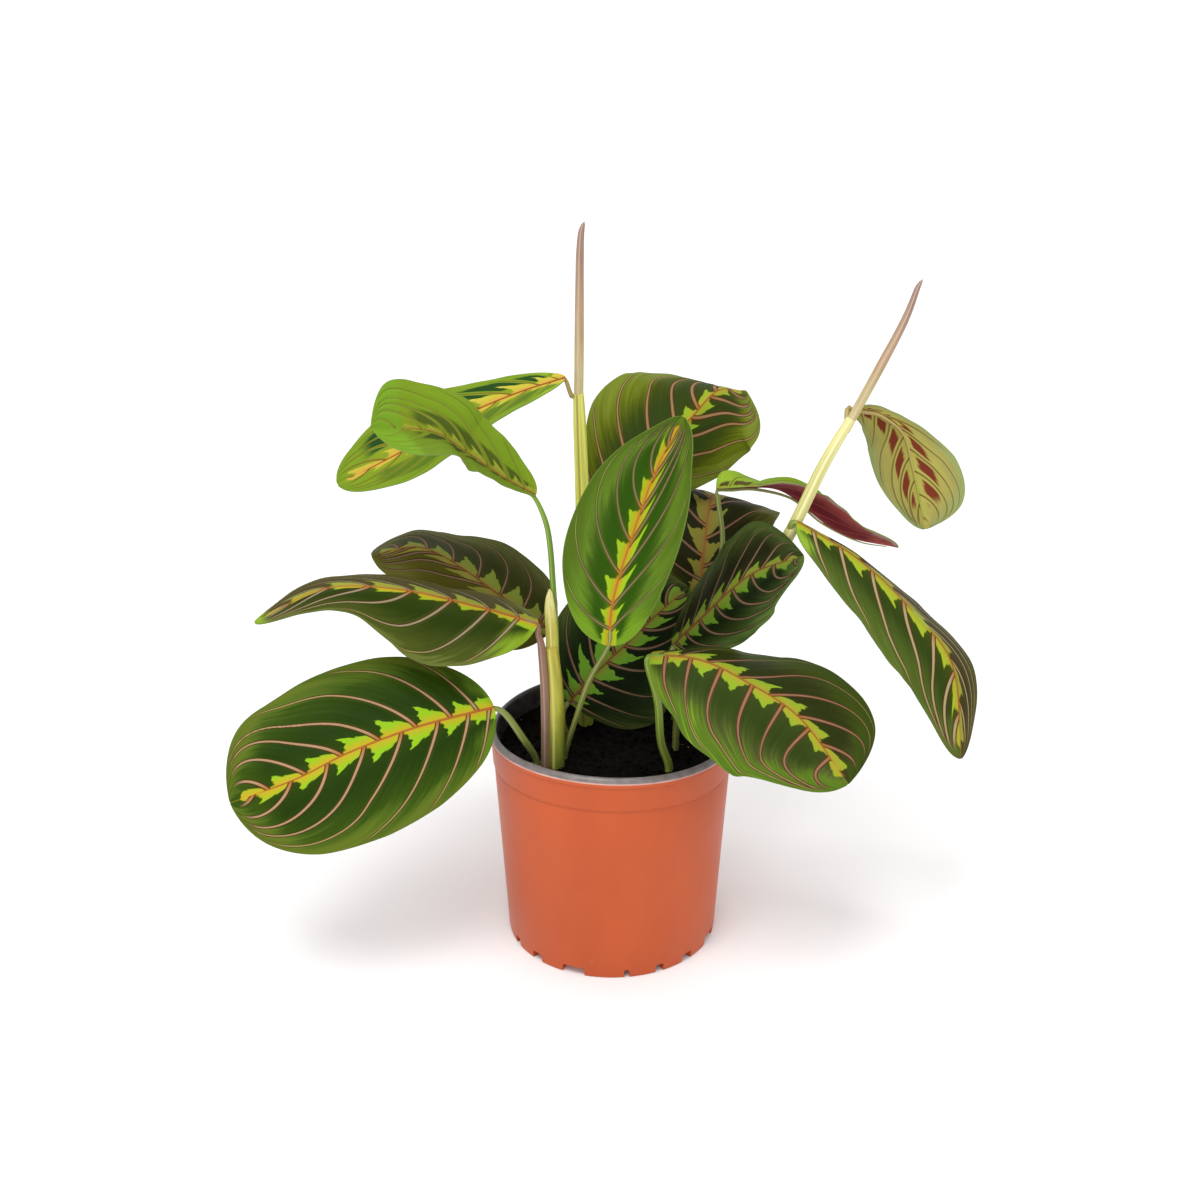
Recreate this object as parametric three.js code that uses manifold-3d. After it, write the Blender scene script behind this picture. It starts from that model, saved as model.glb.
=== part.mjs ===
// Potted prayer plant (maranta) in a round plastic grower's pot.
// Millimetres, +Z up. The origin is the centre of the pot's foot, on the surface that it stands on.
// -Y is the front of the plant and +X is its right.
import * as THREE from 'three';
import { mergeVertices } from 'three/addons/utils/BufferGeometryUtils.js';
import Module from 'manifold-3d';

const wasm = await Module();
wasm.setup();

// ---------------------------------------------------------------- driving dimensions

const CLEARANCE = 0.3; // between pieces that touch

// The pot: a tapered plastic grower's pot, 12 cm across its lip.
const POT_HEIGHT = 112;
const LIP_RADIUS = 60;
const LIP_DEPTH = 4.5;
const LIP_WIDTH = 3.4;
const FOOT_RADIUS = 52.2;
const WALL_TAPER = 0.0625; // growth of the radius per millimetre of height
const POT_WALL = 1.6;
const FLOOR_THICKNESS = 6;
const FLOOR_RADIUS = 43; // the flat disc that stands on the surface
const STEP_HEIGHT = 95; // the faint stacking step below the lip
const STEP_DEPTH = 0.5;
const POT_SIDES = 48;
const RIM_RISE = 4; // the soft rim stands this much higher at its highest place
const RISE_ANGLE = -15; // where that is, in degrees from the front towards the right
const RISE_SPREAD = 82; // and over how many degrees to each side the rise dies out
const RISE_POWER = 1.5; // how gently it does so
const RISE_START = 60; // height from which the wall takes part in it
const NOTCH_HEIGHT = 4.5;
const QUARTER_NOTCHES = [
  // angle from the front and width of each drainage notch in one quarter of the foot, in degrees
  { angle: -21.5, width: 12.7 },
  { angle: 7.8, width: 3 },
  { angle: 26.4, width: 5 },
  { angle: 45, width: 7 },
];

// The soil.
const SOIL_TOP = 101;
const SOIL_SIDES = 32;
const SOIL_RINGS = [0.97, 0.76, 0.54, 0.3]; // of the soil's radius
const SOIL_RELIEF = 1.1;
const SOIL_SEED = 7;
const ROOT_DEPTH = 11; // how far each stalk stands in the soil
const ROOT_RISE = 3; // the straight stretch of a stalk above the soil

// The blades.
const BLADE_THICKNESS = 0.7;
const BLADE_ROWS = 12; // along the midrib
const HALF_COLUMNS = 4; // from the midrib to one edge
const BLADE_END = 0.8; // half of a blade's width where it meets its stalk and at its tip
const RIB_REACH = 0.16; // part of the midrib that the stalk runs along, under the blade
const RIB_DROP = 0.5;
const RIB_TIP_RADIUS = 0.45;
const EDGE_SHIFT = 0.35; // the right edge's waves run this far behind the left edge's

const STALK_SIDES = 7;
const STALK_STEP = 17; // length of one stretch of a stalk
const STEM_SIDES = 10;

// Each leaf's midrib runs from the blade's base to its tip. `facing` lists the way its upper side
// faces, as the compass angle from the front towards the right and the height above the horizon,
// in degrees, evenly spaced from base to tip. `left` and `right` are the half-widths at four
// stations, at even steps of the angle that spaces an ellipse. A positive fold lifts a half of the
// blade and a positive curl bends it further up towards its edge, again from base to tip.
// `stalk` runs from the soil or the stem to the blade's base, and `radius` is its radius.
const LEAVES = [
  {
    name: 'leaf_01', // large, low on the left
    midrib: [[-56, -30, 138], [-91, -42, 134], [-122, -52, 126], [-147, -60, 116], [-177, -64, 106]],
    facing: [[5, 42], [-3, 35], [-10, 28]],
    left: [25, 40, 41, 26],
    right: [23, 39, 40, 32],
    curlLeft: [-15],
    curlRight: [-15],
    wave: { height: 0.9, count: 3, start: 0.1 },
    stalk: [[-37, -19], [-42, -26, 118], [-50, -29, 133]],
    radius: [1.7, 1.7, 1.5],
    rooted: true,
    colour: '#2f5a1e',
  },
  {
    name: 'leaf_02', // arches to the left, its sheath runs down beside the left stem
    midrib: [[-35, -22, 178], [-62, -19, 185], [-99, -17, 193], [-134, -19, 194], [-166, -26, 180]],
    facing: [[0, 66], [0, 72], [0, 88], [-10, 95]],
    left: [20, 33, 18, 9],
    right: [20, 33, 29, 18],
    foldLeft: [-25, -28, -10, 0],
    foldRight: [-24, -27, -7, 0],
    curlLeft: [-15],
    curlRight: [-15],
    wave: { height: 0.8, count: 3, start: 0.4 },
    stalk: [[-33, -20], [-33, -19, 136], [-34, -18.5, 163], [-35, -20, 172]],
    radius: [2.1, 2, 1.9, 1.3],
    rooted: true,
    colour: '#35561f',
  },
  {
    name: 'leaf_03', // dark, behind the arching leaf
    midrib: [[-30, 32, 149], [-55, 35, 166], [-75, 35, 182], [-94, 33, 193], [-117, 28, 191]],
    facing: [[0, 50], [0, 60], [0, 80], [0, 85]],
    left: [19, 29, 29, 17],
    right: [22, 32, 29, 19],
    foldLeft: [-25, -30],
    foldRight: [-5, -10],
    curlLeft: [-10],
    curlRight: [-10],
    wave: { height: 0.8, count: 3, start: 0.7 },
    stalk: [[-27, 14], [-27, 22, 126], [-24, 31, 145]],
    radius: [1.6, 1.6, 1.3],
    rooted: true,
    colour: '#2c4a22',
  },
  {
    name: 'leaf_04', // young, light green, upper left
    midrib: [[-35, -22, 242], [-49, -26, 252], [-66, -32, 267], [-80, -40, 279], [-104, -55, 286]],
    facing: [[0, 62], [0, 60], [0, 55], [-10, 45]],
    left: [7, 14, 25, 22],
    right: [9, 16, 20, 20],
    foldLeft: [35, 35, 25],
    foldRight: [35, 35, 25],
    wave: { height: 0.6, count: 3, start: 0.2 },
    stalk: [[-27, -8], [-27, -9, 136], [-27, -10, 166], [-28, -13, 195], [-29, -18, 216], [-31, -20, 229]],
    radius: [1.6, 1.6, 1.5, 1.4, 1.3, 1.2],
    rooted: true,
    colour: '#7fa82b',
  },
  {
    name: 'leaf_05', // young, hangs from the top of the middle stem
    midrib: [[-22, 20, 284], [-43, 20, 277], [-67, 18, 267], [-99, 12, 250], [-128, 4, 237]],
    facing: [[0, 72], [0, 62], [-5, 50], [-10, 40]],
    left: [10, 15, 18, 11],
    right: [7, 14, 21, 12],
    foldLeft: [10],
    foldRight: [10],
    wave: { height: 0.5, count: 3, start: 0.5 },
    stalk: [[-18, 22.5, 266], [-20, 21.5, 275], [-21, 20.5, 282]],
    radius: [1.5, 1.3, 1.2],
    colour: '#8aa93a',
  },
  {
    name: 'leaf_06', // stands upright in the middle of the front
    midrib: [[-2, -52, 181], [0, -46, 201], [8, -36, 226], [19, -28, 256], [31, -24, 280]],
    facing: [[0, 25], [-3, 22], [-10, 15]],
    left: [16, 28, 25, 10],
    right: [16, 24, 24, 14],
    foldLeft: [5],
    foldRight: [15, 20],
    curlRight: [20, 30],
    wave: { height: 0.8, count: 3, start: 0.3 },
    stalk: [[-23, -13], [-18, -22, 126], [-11, -36, 155]],
    radius: [1.5, 1.5, 1.3],
    rooted: true,
    colour: '#3f7a28',
  },
  {
    name: 'leaf_07', // large, at the top of the back
    midrib: [[-6, 24, 215], [17, 38, 234], [38, 54, 252], [52, 72, 260], [67, 92, 253]],
    facing: [[50, 55], [50, 55], [40, 55]],
    left: [22, 41, 38, 18],
    right: [20, 36, 35, 28],
    foldLeft: [0, 0, -20, -50],
    foldRight: [-65, -60, -30, 0],
    wave: { height: 0.8, count: 3, start: 0.6 },
    stalk: [[-2, 36], [-3, 38, 150], [-9, 34, 190], [-11, 25, 206]],
    radius: [1.8, 1.7, 1.4, 1.3],
    rooted: true,
    colour: '#36601f',
  },
  {
    name: 'leaf_08', // half rolled, turned to show its dark red underside
    midrib: [[50, 30, 225], [64, 34, 224], [83, 36, 221], [111, 34, 200], [139, 30, 194]],
    facing: [[0, 80], [0, 108], [0, 100], [0, 95], [0, 90]],
    left: [12, 13, 9, 5],
    right: [12, 15, 16, 9],
    foldLeft: [30, 8, 60, 80, 80],
    foldRight: [30, 8, 45, 50, 50],
    wave: { height: 0.4, count: 3, start: 0 },
    stalk: [[32, 28], [40, 30, 150], [53, 31, 190], [51, 30, 218]],
    radius: [1.6, 1.5, 1.2, 1.1],
    rooted: true,
    colour: '#7a2e33',
  },
  {
    name: 'leaf_09', // young, hangs from the right shoot with its underside to the front
    midrib: [[113, 28, 266], [127, 34, 261], [139, 38, 250], [145, 38, 231], [152, 32, 203]],
    facing: [[180, 20], [180, 5], [180, -5]],
    left: [8, 18, 18, 9],
    right: [3, 6, 23, 21],
    foldLeft: [10],
    foldRight: [40, 40, 20, 10],
    wave: { height: 0.5, count: 3, start: 0.2 },
    stalk: [[110, 21, 260], [110, 25, 266], [111.5, 27.5, 266.5]],
    radius: [1.5, 1.3, 1.2],
    colour: '#b3b06a',
  },
  {
    name: 'leaf_10', // hangs to the right
    midrib: [[87, 6, 218], [115, -4, 203], [141, -16, 181], [159, -28, 158], [164, -40, 116]],
    facing: [[20, 78], [30, 68], [20, 40]],
    left: [12, 23, 27, 16],
    right: [14, 24, 25, 11],
    foldLeft: [-30],
    foldRight: [-15],
    curlLeft: [-10],
    curlRight: [-10],
    wave: { height: 0.8, count: 3, start: 0.8 },
    stalk: [[84, 10.5, 210], [84.5, 8, 215], [85.5, 6.5, 217.6]],
    radius: [1.8, 1.6, 1.5],
    colour: '#35581f',
  },
  {
    name: 'leaf_11', // dark, on the right behind the low leaf
    midrib: [[28, -12, 162], [41, -15, 177], [53, -17, 191], [67, -16, 202], [89, -8, 206]],
    facing: [[0, 60], [0, 58], [15, 50]],
    left: [20, 26, 29, 30],
    right: [13, 22, 21, 10],
    foldLeft: [-25, -15],
    foldRight: [-30],
    curlLeft: [-10],
    curlRight: [-10],
    wave: { height: 0.7, count: 3, start: 0.4 },
    stalk: [[31, -4], [31, -8, 140], [28, -11, 155]],
    radius: [1.7, 1.5, 1.4],
    rooted: true,
    colour: '#2c4a26',
  },
  {
    name: 'leaf_12', // rises behind the others and arches over to the back
    midrib: [[44, 44, 162], [46, 52, 186], [50, 70, 204], [57, 98, 192], [64, 116, 167]],
    facing: [[0, 40], [10, 70], [170, 60]],
    left: [20, 33, 33, 20],
    right: [20, 33, 33, 20],
    curlLeft: [-10],
    curlRight: [-10],
    wave: { height: 0.8, count: 3, start: 0.1 },
    stalk: [[16, 40], [28, 43, 132], [39, 43, 153]],
    radius: [1.7, 1.5, 1.4],
    rooted: true,
    colour: '#3a4a1c',
  },
  {
    name: 'leaf_13', // large, low on the right
    midrib: [[17, -44, 173], [39, -52, 174], [59, -59, 167], [84, -67, 152], [106, -78, 124]],
    facing: [[-5, 72], [0, 66], [5, 50], [10, 38]],
    left: [18, 36, 41, 31],
    right: [24, 37, 38, 20],
    foldLeft: [-26, -24, -5],
    foldRight: [-20, -20, -5],
    curlLeft: [-20],
    curlRight: [-20, -10],
    wave: { height: 0.9, count: 3, start: 0.6 },
    stalk: [[27, -24], [23, -26, 118], [21, -33, 143], [16, -41, 166]],
    radius: [2, 1.9, 1.8, 1.6],
    rooted: true,
    colour: '#35601f',
  },
  {
    name: 'leaf_14', // dark, low in the middle behind the upright leaf
    midrib: [[-21, -4, 127], [-7, 0, 142], [8, 6, 155], [21, 14, 165], [37, 25, 175]],
    facing: [[0, 15], [0, 20], [0, 35]],
    left: [20, 33, 32, 20],
    right: [30, 38, 26, 13],
    curlLeft: [-10],
    curlRight: [-10],
    wave: { height: 0.8, count: 3, start: 0.9 },
    stalk: [[-22, 1], [-24, -2, 114], [-24, -4, 122]],
    radius: [1.6, 1.5, 1.4],
    rooted: true,
    colour: '#22401c',
  },
];

// Upright stems. The rolled young leaves stand in their tops.
const STEMS = [
  { name: 'stem_left', path: [[-27, -20], [-27, -18, 136], [-29, -16, 164]], radius: [4.2, 4.1, 3.6], colour: '#a9a63c' },
  { name: 'stem_middle', path: [[-13, 24], [-14, 24, 169], [-16, 24, 221], [-16, 24, 276]], radius: [4, 4, 3.6, 3.2], colour: '#c9c86a' },
  {
    name: 'stem_right',
    path: [[42, 14], [50, 18, 135], [68, 18, 175], [84, 10, 210], [99, 16, 242], [112, 22, 264]],
    radius: [3.4, 3.2, 3.2, 3.9, 3.2, 2.9],
    colour: '#d6cf8c',
  },
];
const ROLLED_LEAVES = [
  { name: 'rolled_leaf_left', stem: 'stem_left', path: [[-28.5, -16.4, 156], [-29, -16, 177], [-31, -15, 192]], radius: [2.6, 2.7, 0.6], colour: '#e2dc8a' },
  { name: 'rolled_leaf_middle', stem: 'stem_middle', path: [[-16, 24, 266], [-15.5, 24, 310], [-14, 25, 356]], radius: [2.2, 2.1, 0.5], colour: '#b98b74' },
  {
    name: 'rolled_leaf_right',
    stem: 'stem_right',
    path: [[108, 20, 256], [125, 28, 287], [136, 34, 308], [142.5, 38, 326]],
    radius: [2, 2.1, 1.7, 0.5],
    colour: '#b98b74',
  },
];
const SOCKET_EASE = 0.3; // room round a rolled leaf's foot in its stem

// ---------------------------------------------------------------- curves and values along them

const radians = THREE.MathUtils.degToRad;
const vector = (p) => new THREE.Vector3(p[0], p[1], p[2]);

// A value that is given at evenly spaced stations from 0 to 1, read between them.
function along(values, t, fallback = 0) {
  if (!values) return fallback;
  const place = t * (values.length - 1);
  const first = Math.min(Math.floor(place), values.length - 1);
  const second = Math.min(first + 1, values.length - 1);
  return values[first] + (values[second] - values[first]) * (place - first);
}

function facingAt(facing, t) {
  const directions = facing.map(([compass, height]) => {
    const level = Math.cos(radians(height));
    const x = Math.sin(radians(compass)) * level;
    const y = -Math.cos(radians(compass)) * level;
    return [x, y, Math.sin(radians(height))];
  });
  const part = (axis) => along(directions.map((d) => d[axis]), t);
  return new THREE.Vector3(part(0), part(1), part(2));
}

// The half-width at t: a smooth curve through the four stations that closes at both ends.
function halfWidth(stations, t) {
  const widths = [0, ...stations, 0];
  const place = (Math.acos(1 - 2 * t) / Math.PI) * (widths.length - 1);
  const first = Math.min(Math.floor(place), widths.length - 2);
  const x = place - first;
  const before = first > 0 ? widths[first - 1] : -widths[1];
  const after = first + 2 < widths.length ? widths[first + 2] : -widths[widths.length - 2];
  const [start, end] = [widths[first], widths[first + 1]];
  const rise = (end - before) / 2;
  const fall = (after - start) / 2;
  const cubic = 2 * start - 2 * end + rise + fall;
  const square = -3 * start + 3 * end - 2 * rise - fall;
  return Math.max(((cubic * x + square) * x + rise) * x + start, BLADE_END);
}

// Sideways and upward reach of a folded and curled half, for a half-width of 1.
function sectionAt(fold, curl, reach) {
  const f = radians(fold);
  const bend = radians(Math.abs(curl) < 0.01 ? 0.01 : curl);
  const out = (Math.sin(f + bend * reach) - Math.sin(f)) / bend;
  const up = (Math.cos(f) - Math.cos(f + bend * reach)) / bend;
  return { out, up };
}

// ---------------------------------------------------------------- closed meshes

function closedMesh(points, faces) {
  const geometry = new THREE.BufferGeometry();
  geometry.setAttribute('position', new THREE.Float32BufferAttribute(points.flatMap((p) => [p.x, p.y, p.z]), 3));
  geometry.setIndex(faces.flat());
  return geometry;
}

function solid(geometry) {
  const bare = geometry.clone();
  bare.deleteAttribute('normal');
  bare.deleteAttribute('uv');
  const merged = mergeVertices(bare, 1e-4);
  const mesh = new wasm.Mesh({
    numProp: 3,
    vertProperties: new Float32Array(merged.attributes.position.array),
    triVerts: new Uint32Array(merged.index.array),
  });
  return new wasm.Manifold(mesh);
}

function geometryOf(manifold) {
  const mesh = manifold.getMesh();
  const geometry = new THREE.BufferGeometry();
  geometry.setAttribute('position', new THREE.BufferAttribute(mesh.vertProperties, 3));
  geometry.setIndex(new THREE.BufferAttribute(mesh.triVerts, 1));
  return geometry;
}

// A round rod along a path: a cylinder whose rings are moved onto the curve.
function rod(path, radius, sides, extra = 0) {
  const curve = new THREE.CatmullRomCurve3(path.map(vector), false, 'catmullrom', 0.5);
  const rings = Math.max(3, Math.ceil(curve.getLength() / STALK_STEP));
  const geometry = new THREE.CylinderGeometry(1, 1, 1, sides, rings);
  const position = geometry.attributes.position;
  for (let i = 0; i < position.count; i += 1) {
    const t = position.getY(i) + 0.5;
    const centre = curve.getPoint(t);
    const tangent = curve.getTangent(t);
    const side = new THREE.Vector3(0, 1, 0).cross(tangent);
    if (side.length() < 0.2) side.set(1, 0, 0).cross(tangent);
    side.normalize();
    const other = tangent.clone().cross(side);
    const r = along(radius, t) + extra;
    centre.addScaledVector(side, position.getZ(i) * r);
    centre.addScaledVector(other, position.getX(i) * r);
    position.setXYZ(i, centre.x, centre.y, centre.z);
  }
  return solid(geometry);
}

// ---------------------------------------------------------------- leaves

function bladeFrame(leaf, curve, t) {
  const centre = curve.getPointAt(t);
  const tangent = curve.getTangentAt(t);
  const up = facingAt(leaf.facing, t);
  up.addScaledVector(tangent, -up.dot(tangent)).normalize();
  const right = tangent.clone().cross(up);
  return { centre, up, right };
}

function bladePoint(leaf, curve, t, across) {
  const { centre, up, right } = bladeFrame(leaf, curve, t);
  const isRight = across > 0;
  const reach = Math.abs(across);
  const width = halfWidth(isRight ? leaf.right : leaf.left, t);
  const fold = along(isRight ? leaf.foldRight : leaf.foldLeft, t);
  const curl = along(isRight ? leaf.curlRight : leaf.curlLeft, t);
  const { out, up: lift } = sectionAt(fold, curl, reach);
  const turn = leaf.wave.count * t + leaf.wave.start + (isRight ? EDGE_SHIFT : 0);
  const wave = leaf.wave.height * Math.sin(2 * Math.PI * turn) * reach ** 2 * Math.sin(Math.PI * t);
  centre.addScaledVector(right, Math.sign(across) * width * out);
  return centre.addScaledVector(up, width * lift + wave);
}

// The blade: two sheets with the same triangles, half a thickness to each side of its middle.
function blade(leaf, curve) {
  const columns = 2 * HALF_COLUMNS;
  const middle = [];
  for (let row = 0; row <= BLADE_ROWS; row += 1) {
    const t = (1 - Math.cos((Math.PI * row) / BLADE_ROWS)) / 2;
    for (let column = 0; column <= columns; column += 1) {
      middle.push(bladePoint(leaf, curve, t, column / HALF_COLUMNS - 1));
    }
  }
  const at = (row, column) => row * (columns + 1) + column;
  const sheet = [];
  for (let row = 0; row < BLADE_ROWS; row += 1) {
    for (let column = 0; column < columns; column += 1) {
      const [a, b] = [at(row, column), at(row, column + 1)];
      const [c, d] = [at(row + 1, column), at(row + 1, column + 1)];
      if (column < HALF_COLUMNS) sheet.push([a, b, c], [b, d, c]);
      else sheet.push([a, b, d], [a, d, c]);
    }
  }
  const normals = middle.map(() => new THREE.Vector3());
  for (const [a, b, c] of sheet) {
    const one = middle[b].clone().sub(middle[a]);
    const normal = one.cross(middle[c].clone().sub(middle[a]));
    for (const corner of [a, b, c]) normals[corner].add(normal);
  }
  const count = middle.length;
  const lifted = (side) => middle.map((p, i) => p.clone().addScaledVector(normals[i].clone().normalize(), side));
  const points = [...lifted(BLADE_THICKNESS / 2), ...lifted(-BLADE_THICKNESS / 2)];
  const faces = [...sheet, ...sheet.map(([a, b, c]) => [a + count, c + count, b + count])];
  const edge = [];
  for (let column = 0; column < columns; column += 1) edge.push([at(0, column), at(0, column + 1)]);
  for (let row = 0; row < BLADE_ROWS; row += 1) edge.push([at(row, columns), at(row + 1, columns)]);
  for (let column = columns; column > 0; column -= 1) edge.push([at(BLADE_ROWS, column), at(BLADE_ROWS, column - 1)]);
  for (let row = BLADE_ROWS; row > 0; row -= 1) edge.push([at(row, 0), at(row - 1, 0)]);
  for (const [a, b] of edge) faces.push([a + count, b + count, b], [a + count, b, a]);
  return solid(closedMesh(points, faces));
}

// A path that starts at the soil gets its straight foot, down in the soil.
function rootedPath(path) {
  const [x, y] = path[0];
  return [[x, y, SOIL_TOP - ROOT_DEPTH], [x, y, SOIL_TOP + ROOT_RISE], ...path.slice(1)];
}

function leafSolid(leaf) {
  const curve = new THREE.CatmullRomCurve3(leaf.midrib.map(vector), false, 'catmullrom', 0.5);
  const ribs = [0, RIB_REACH / 2, RIB_REACH].map((t) => {
    const { centre, up } = bladeFrame(leaf, curve, t);
    return centre.addScaledVector(up, -RIB_DROP).toArray();
  });
  const path = [...(leaf.rooted ? rootedPath(leaf.stalk) : leaf.stalk), ...ribs];
  const radius = [...(leaf.rooted ? [leaf.radius[0]] : []), ...leaf.radius];
  const end = radius[radius.length - 1];
  const radii = [...radius, end, (end + RIB_TIP_RADIUS) / 2, RIB_TIP_RADIUS];
  return {
    whole: rod(path, radii, STALK_SIDES).add(blade(leaf, curve)),
    room: (gap) => rod(path, radii, STALK_SIDES, gap),
  };
}

// ---------------------------------------------------------------- pot and soil

const wallRadius = (z) => FOOT_RADIUS + WALL_TAPER * z + (z > STEP_HEIGHT ? STEP_DEPTH : 0);

function lathe(profile, sides) {
  const outline = profile.map(([r, z]) => new THREE.Vector2(r, z));
  return new THREE.LatheGeometry(outline, sides).rotateX(Math.PI / 2);
}

// The soft rim stands a little higher towards the front left: the wall is stretched along its slope.
function raiseRim(pot) {
  return pot.warp((point) => {
    const compass = THREE.MathUtils.radToDeg(Math.atan2(point[0], -point[1]));
    const turn = Math.min(Math.abs(compass - RISE_ANGLE) / RISE_SPREAD, 1);
    const share = Math.cos((turn * Math.PI) / 2) ** RISE_POWER;
    const rise = RIM_RISE * share * THREE.MathUtils.smoothstep(point[2], RISE_START, POT_HEIGHT);
    const spread = 1 + (WALL_TAPER * rise) / Math.max(Math.hypot(point[0], point[1]), 1);
    point[0] *= spread;
    point[1] *= spread;
    point[2] += rise;
  });
}

function potSolid() {
  const lipBottom = POT_HEIGHT - LIP_DEPTH;
  const inside = (z) => wallRadius(z) - POT_WALL;
  const profile = [
    [0, 0],
    [FLOOR_RADIUS, 0],
    [FLOOR_RADIUS + 1, 1],
    [FOOT_RADIUS - 4, 1],
    [FOOT_RADIUS - 3, 0],
    [wallRadius(0), 0],
    [wallRadius(STEP_HEIGHT), STEP_HEIGHT],
    [wallRadius(STEP_HEIGHT) + STEP_DEPTH, STEP_HEIGHT + 1],
    [wallRadius(lipBottom), lipBottom],
    [LIP_RADIUS - 0.4, lipBottom],
    [LIP_RADIUS, lipBottom + 1],
    [LIP_RADIUS, POT_HEIGHT - 1],
    [LIP_RADIUS - 1, POT_HEIGHT],
    [LIP_RADIUS - LIP_WIDTH + 0.6, POT_HEIGHT],
    [LIP_RADIUS - LIP_WIDTH, POT_HEIGHT - 0.8],
    [inside(lipBottom), lipBottom],
    [inside(FLOOR_THICKNESS), FLOOR_THICKNESS],
    [0, FLOOR_THICKNESS],
  ];
  let pot = raiseRim(solid(lathe(profile, POT_SIDES)));
  for (let quarter = 0; quarter < 4; quarter += 1) {
    for (const { angle, width } of QUARTER_NOTCHES) {
      const breadth = 2 * FOOT_RADIUS * Math.sin(radians(width / 2));
      const notch = new THREE.BoxGeometry(breadth, FOOT_RADIUS, 2 * NOTCH_HEIGHT);
      notch.translate(0, -(FLOOR_RADIUS + 2.5 + FOOT_RADIUS / 2), 0);
      notch.rotateZ(radians(angle + 90 * quarter));
      pot = pot.subtract(solid(notch));
    }
  }
  return pot;
}

// Small even random numbers that come out the same each time.
function randomFrom(seed) {
  let state = seed;
  return () => {
    state = (state * 16807) % 2147483647;
    return state / 2147483647;
  };
}

function soilSolid() {
  const bottom = FLOOR_THICKNESS + CLEARANCE;
  const radiusAt = (z) => wallRadius(z) - POT_WALL - CLEARANCE;
  const outer = radiusAt(bottom);
  const top = radiusAt(SOIL_TOP) - STEP_DEPTH;
  const rings = SOIL_RINGS.map((part) => [top * part, SOIL_TOP]);
  const profile = [[0, bottom], [outer, bottom], [top, SOIL_TOP - 1.5], ...rings, [0, SOIL_TOP]];
  const geometry = mergeVertices(lathe(profile, SOIL_SIDES).deleteAttribute('uv').deleteAttribute('normal'), 1e-3);
  const random = randomFrom(SOIL_SEED);
  const position = geometry.attributes.position;
  for (let i = 0; i < position.count; i += 1) {
    if (position.getZ(i) > SOIL_TOP - 0.1) position.setZ(i, SOIL_TOP + SOIL_RELIEF * (random() - 0.5));
  }
  return solid(geometry);
}

// ---------------------------------------------------------------- the plant

const group = new THREE.Group();

function addPiece(name, manifold, colour, roughness = 0.6) {
  const material = new THREE.MeshStandardMaterial({ color: colour, roughness, metalness: 0 });
  const mesh = new THREE.Mesh(geometryOf(manifold), material);
  mesh.name = name;
  group.add(mesh);
}

let soil = soilSolid();
const stems = {};
for (const stem of STEMS) {
  const path = rootedPath(stem.path);
  const radius = [stem.radius[0], ...stem.radius];
  stems[stem.name] = { whole: rod(path, radius, STEM_SIDES), room: rod(path, radius, STEM_SIDES, CLEARANCE + 0.05) };
  soil = soil.subtract(stems[stem.name].room);
}

addPiece('pot', potSolid(), '#c9613c', 0.45);

for (const leaf of LEAVES) {
  const { whole, room } = leafSolid(leaf);
  let piece = whole;
  if (leaf.rooted) soil = soil.subtract(room(CLEARANCE + 0.05));
  for (const stem of Object.values(stems)) piece = piece.subtract(stem.room);
  addPiece(leaf.name, piece, leaf.colour, 0.45);
}

for (const young of ROLLED_LEAVES) {
  const sides = STEM_SIDES;
  const socket = rod(young.path, young.radius, sides, SOCKET_EASE);
  stems[young.stem].whole = stems[young.stem].whole.subtract(socket);
  addPiece(young.name, rod(young.path, young.radius, sides), young.colour, 0.5);
}

for (const stem of STEMS) addPiece(stem.name, stems[stem.name].whole, stem.colour, 0.5);
addPiece('soil', soil, '#1a1512', 1);

export default group;
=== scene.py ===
"""A prayer plant (maranta) in a 12 cm plastic grower's pot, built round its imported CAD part.

Lengths in the tables are millimetres and angles are degrees. -Y is the front, +X the right and +Z up.
"""
import math

import bpy
import numpy as np
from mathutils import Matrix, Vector, noise


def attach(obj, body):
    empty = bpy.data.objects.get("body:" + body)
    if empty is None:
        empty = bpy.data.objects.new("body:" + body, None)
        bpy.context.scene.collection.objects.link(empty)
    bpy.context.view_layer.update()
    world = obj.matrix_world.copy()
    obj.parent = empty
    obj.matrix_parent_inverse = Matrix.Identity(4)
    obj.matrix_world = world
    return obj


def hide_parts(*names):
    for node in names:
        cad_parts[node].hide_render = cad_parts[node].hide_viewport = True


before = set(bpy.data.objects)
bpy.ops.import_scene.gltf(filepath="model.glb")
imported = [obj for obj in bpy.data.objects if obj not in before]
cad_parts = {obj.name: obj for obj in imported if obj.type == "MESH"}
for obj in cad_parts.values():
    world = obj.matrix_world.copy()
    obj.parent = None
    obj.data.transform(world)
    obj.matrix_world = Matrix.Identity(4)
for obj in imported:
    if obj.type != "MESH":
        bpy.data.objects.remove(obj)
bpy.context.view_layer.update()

MM = 0.001
rng = np.random.default_rng(11)

# ------------------------------------------------------------------ the plant's sizes

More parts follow.
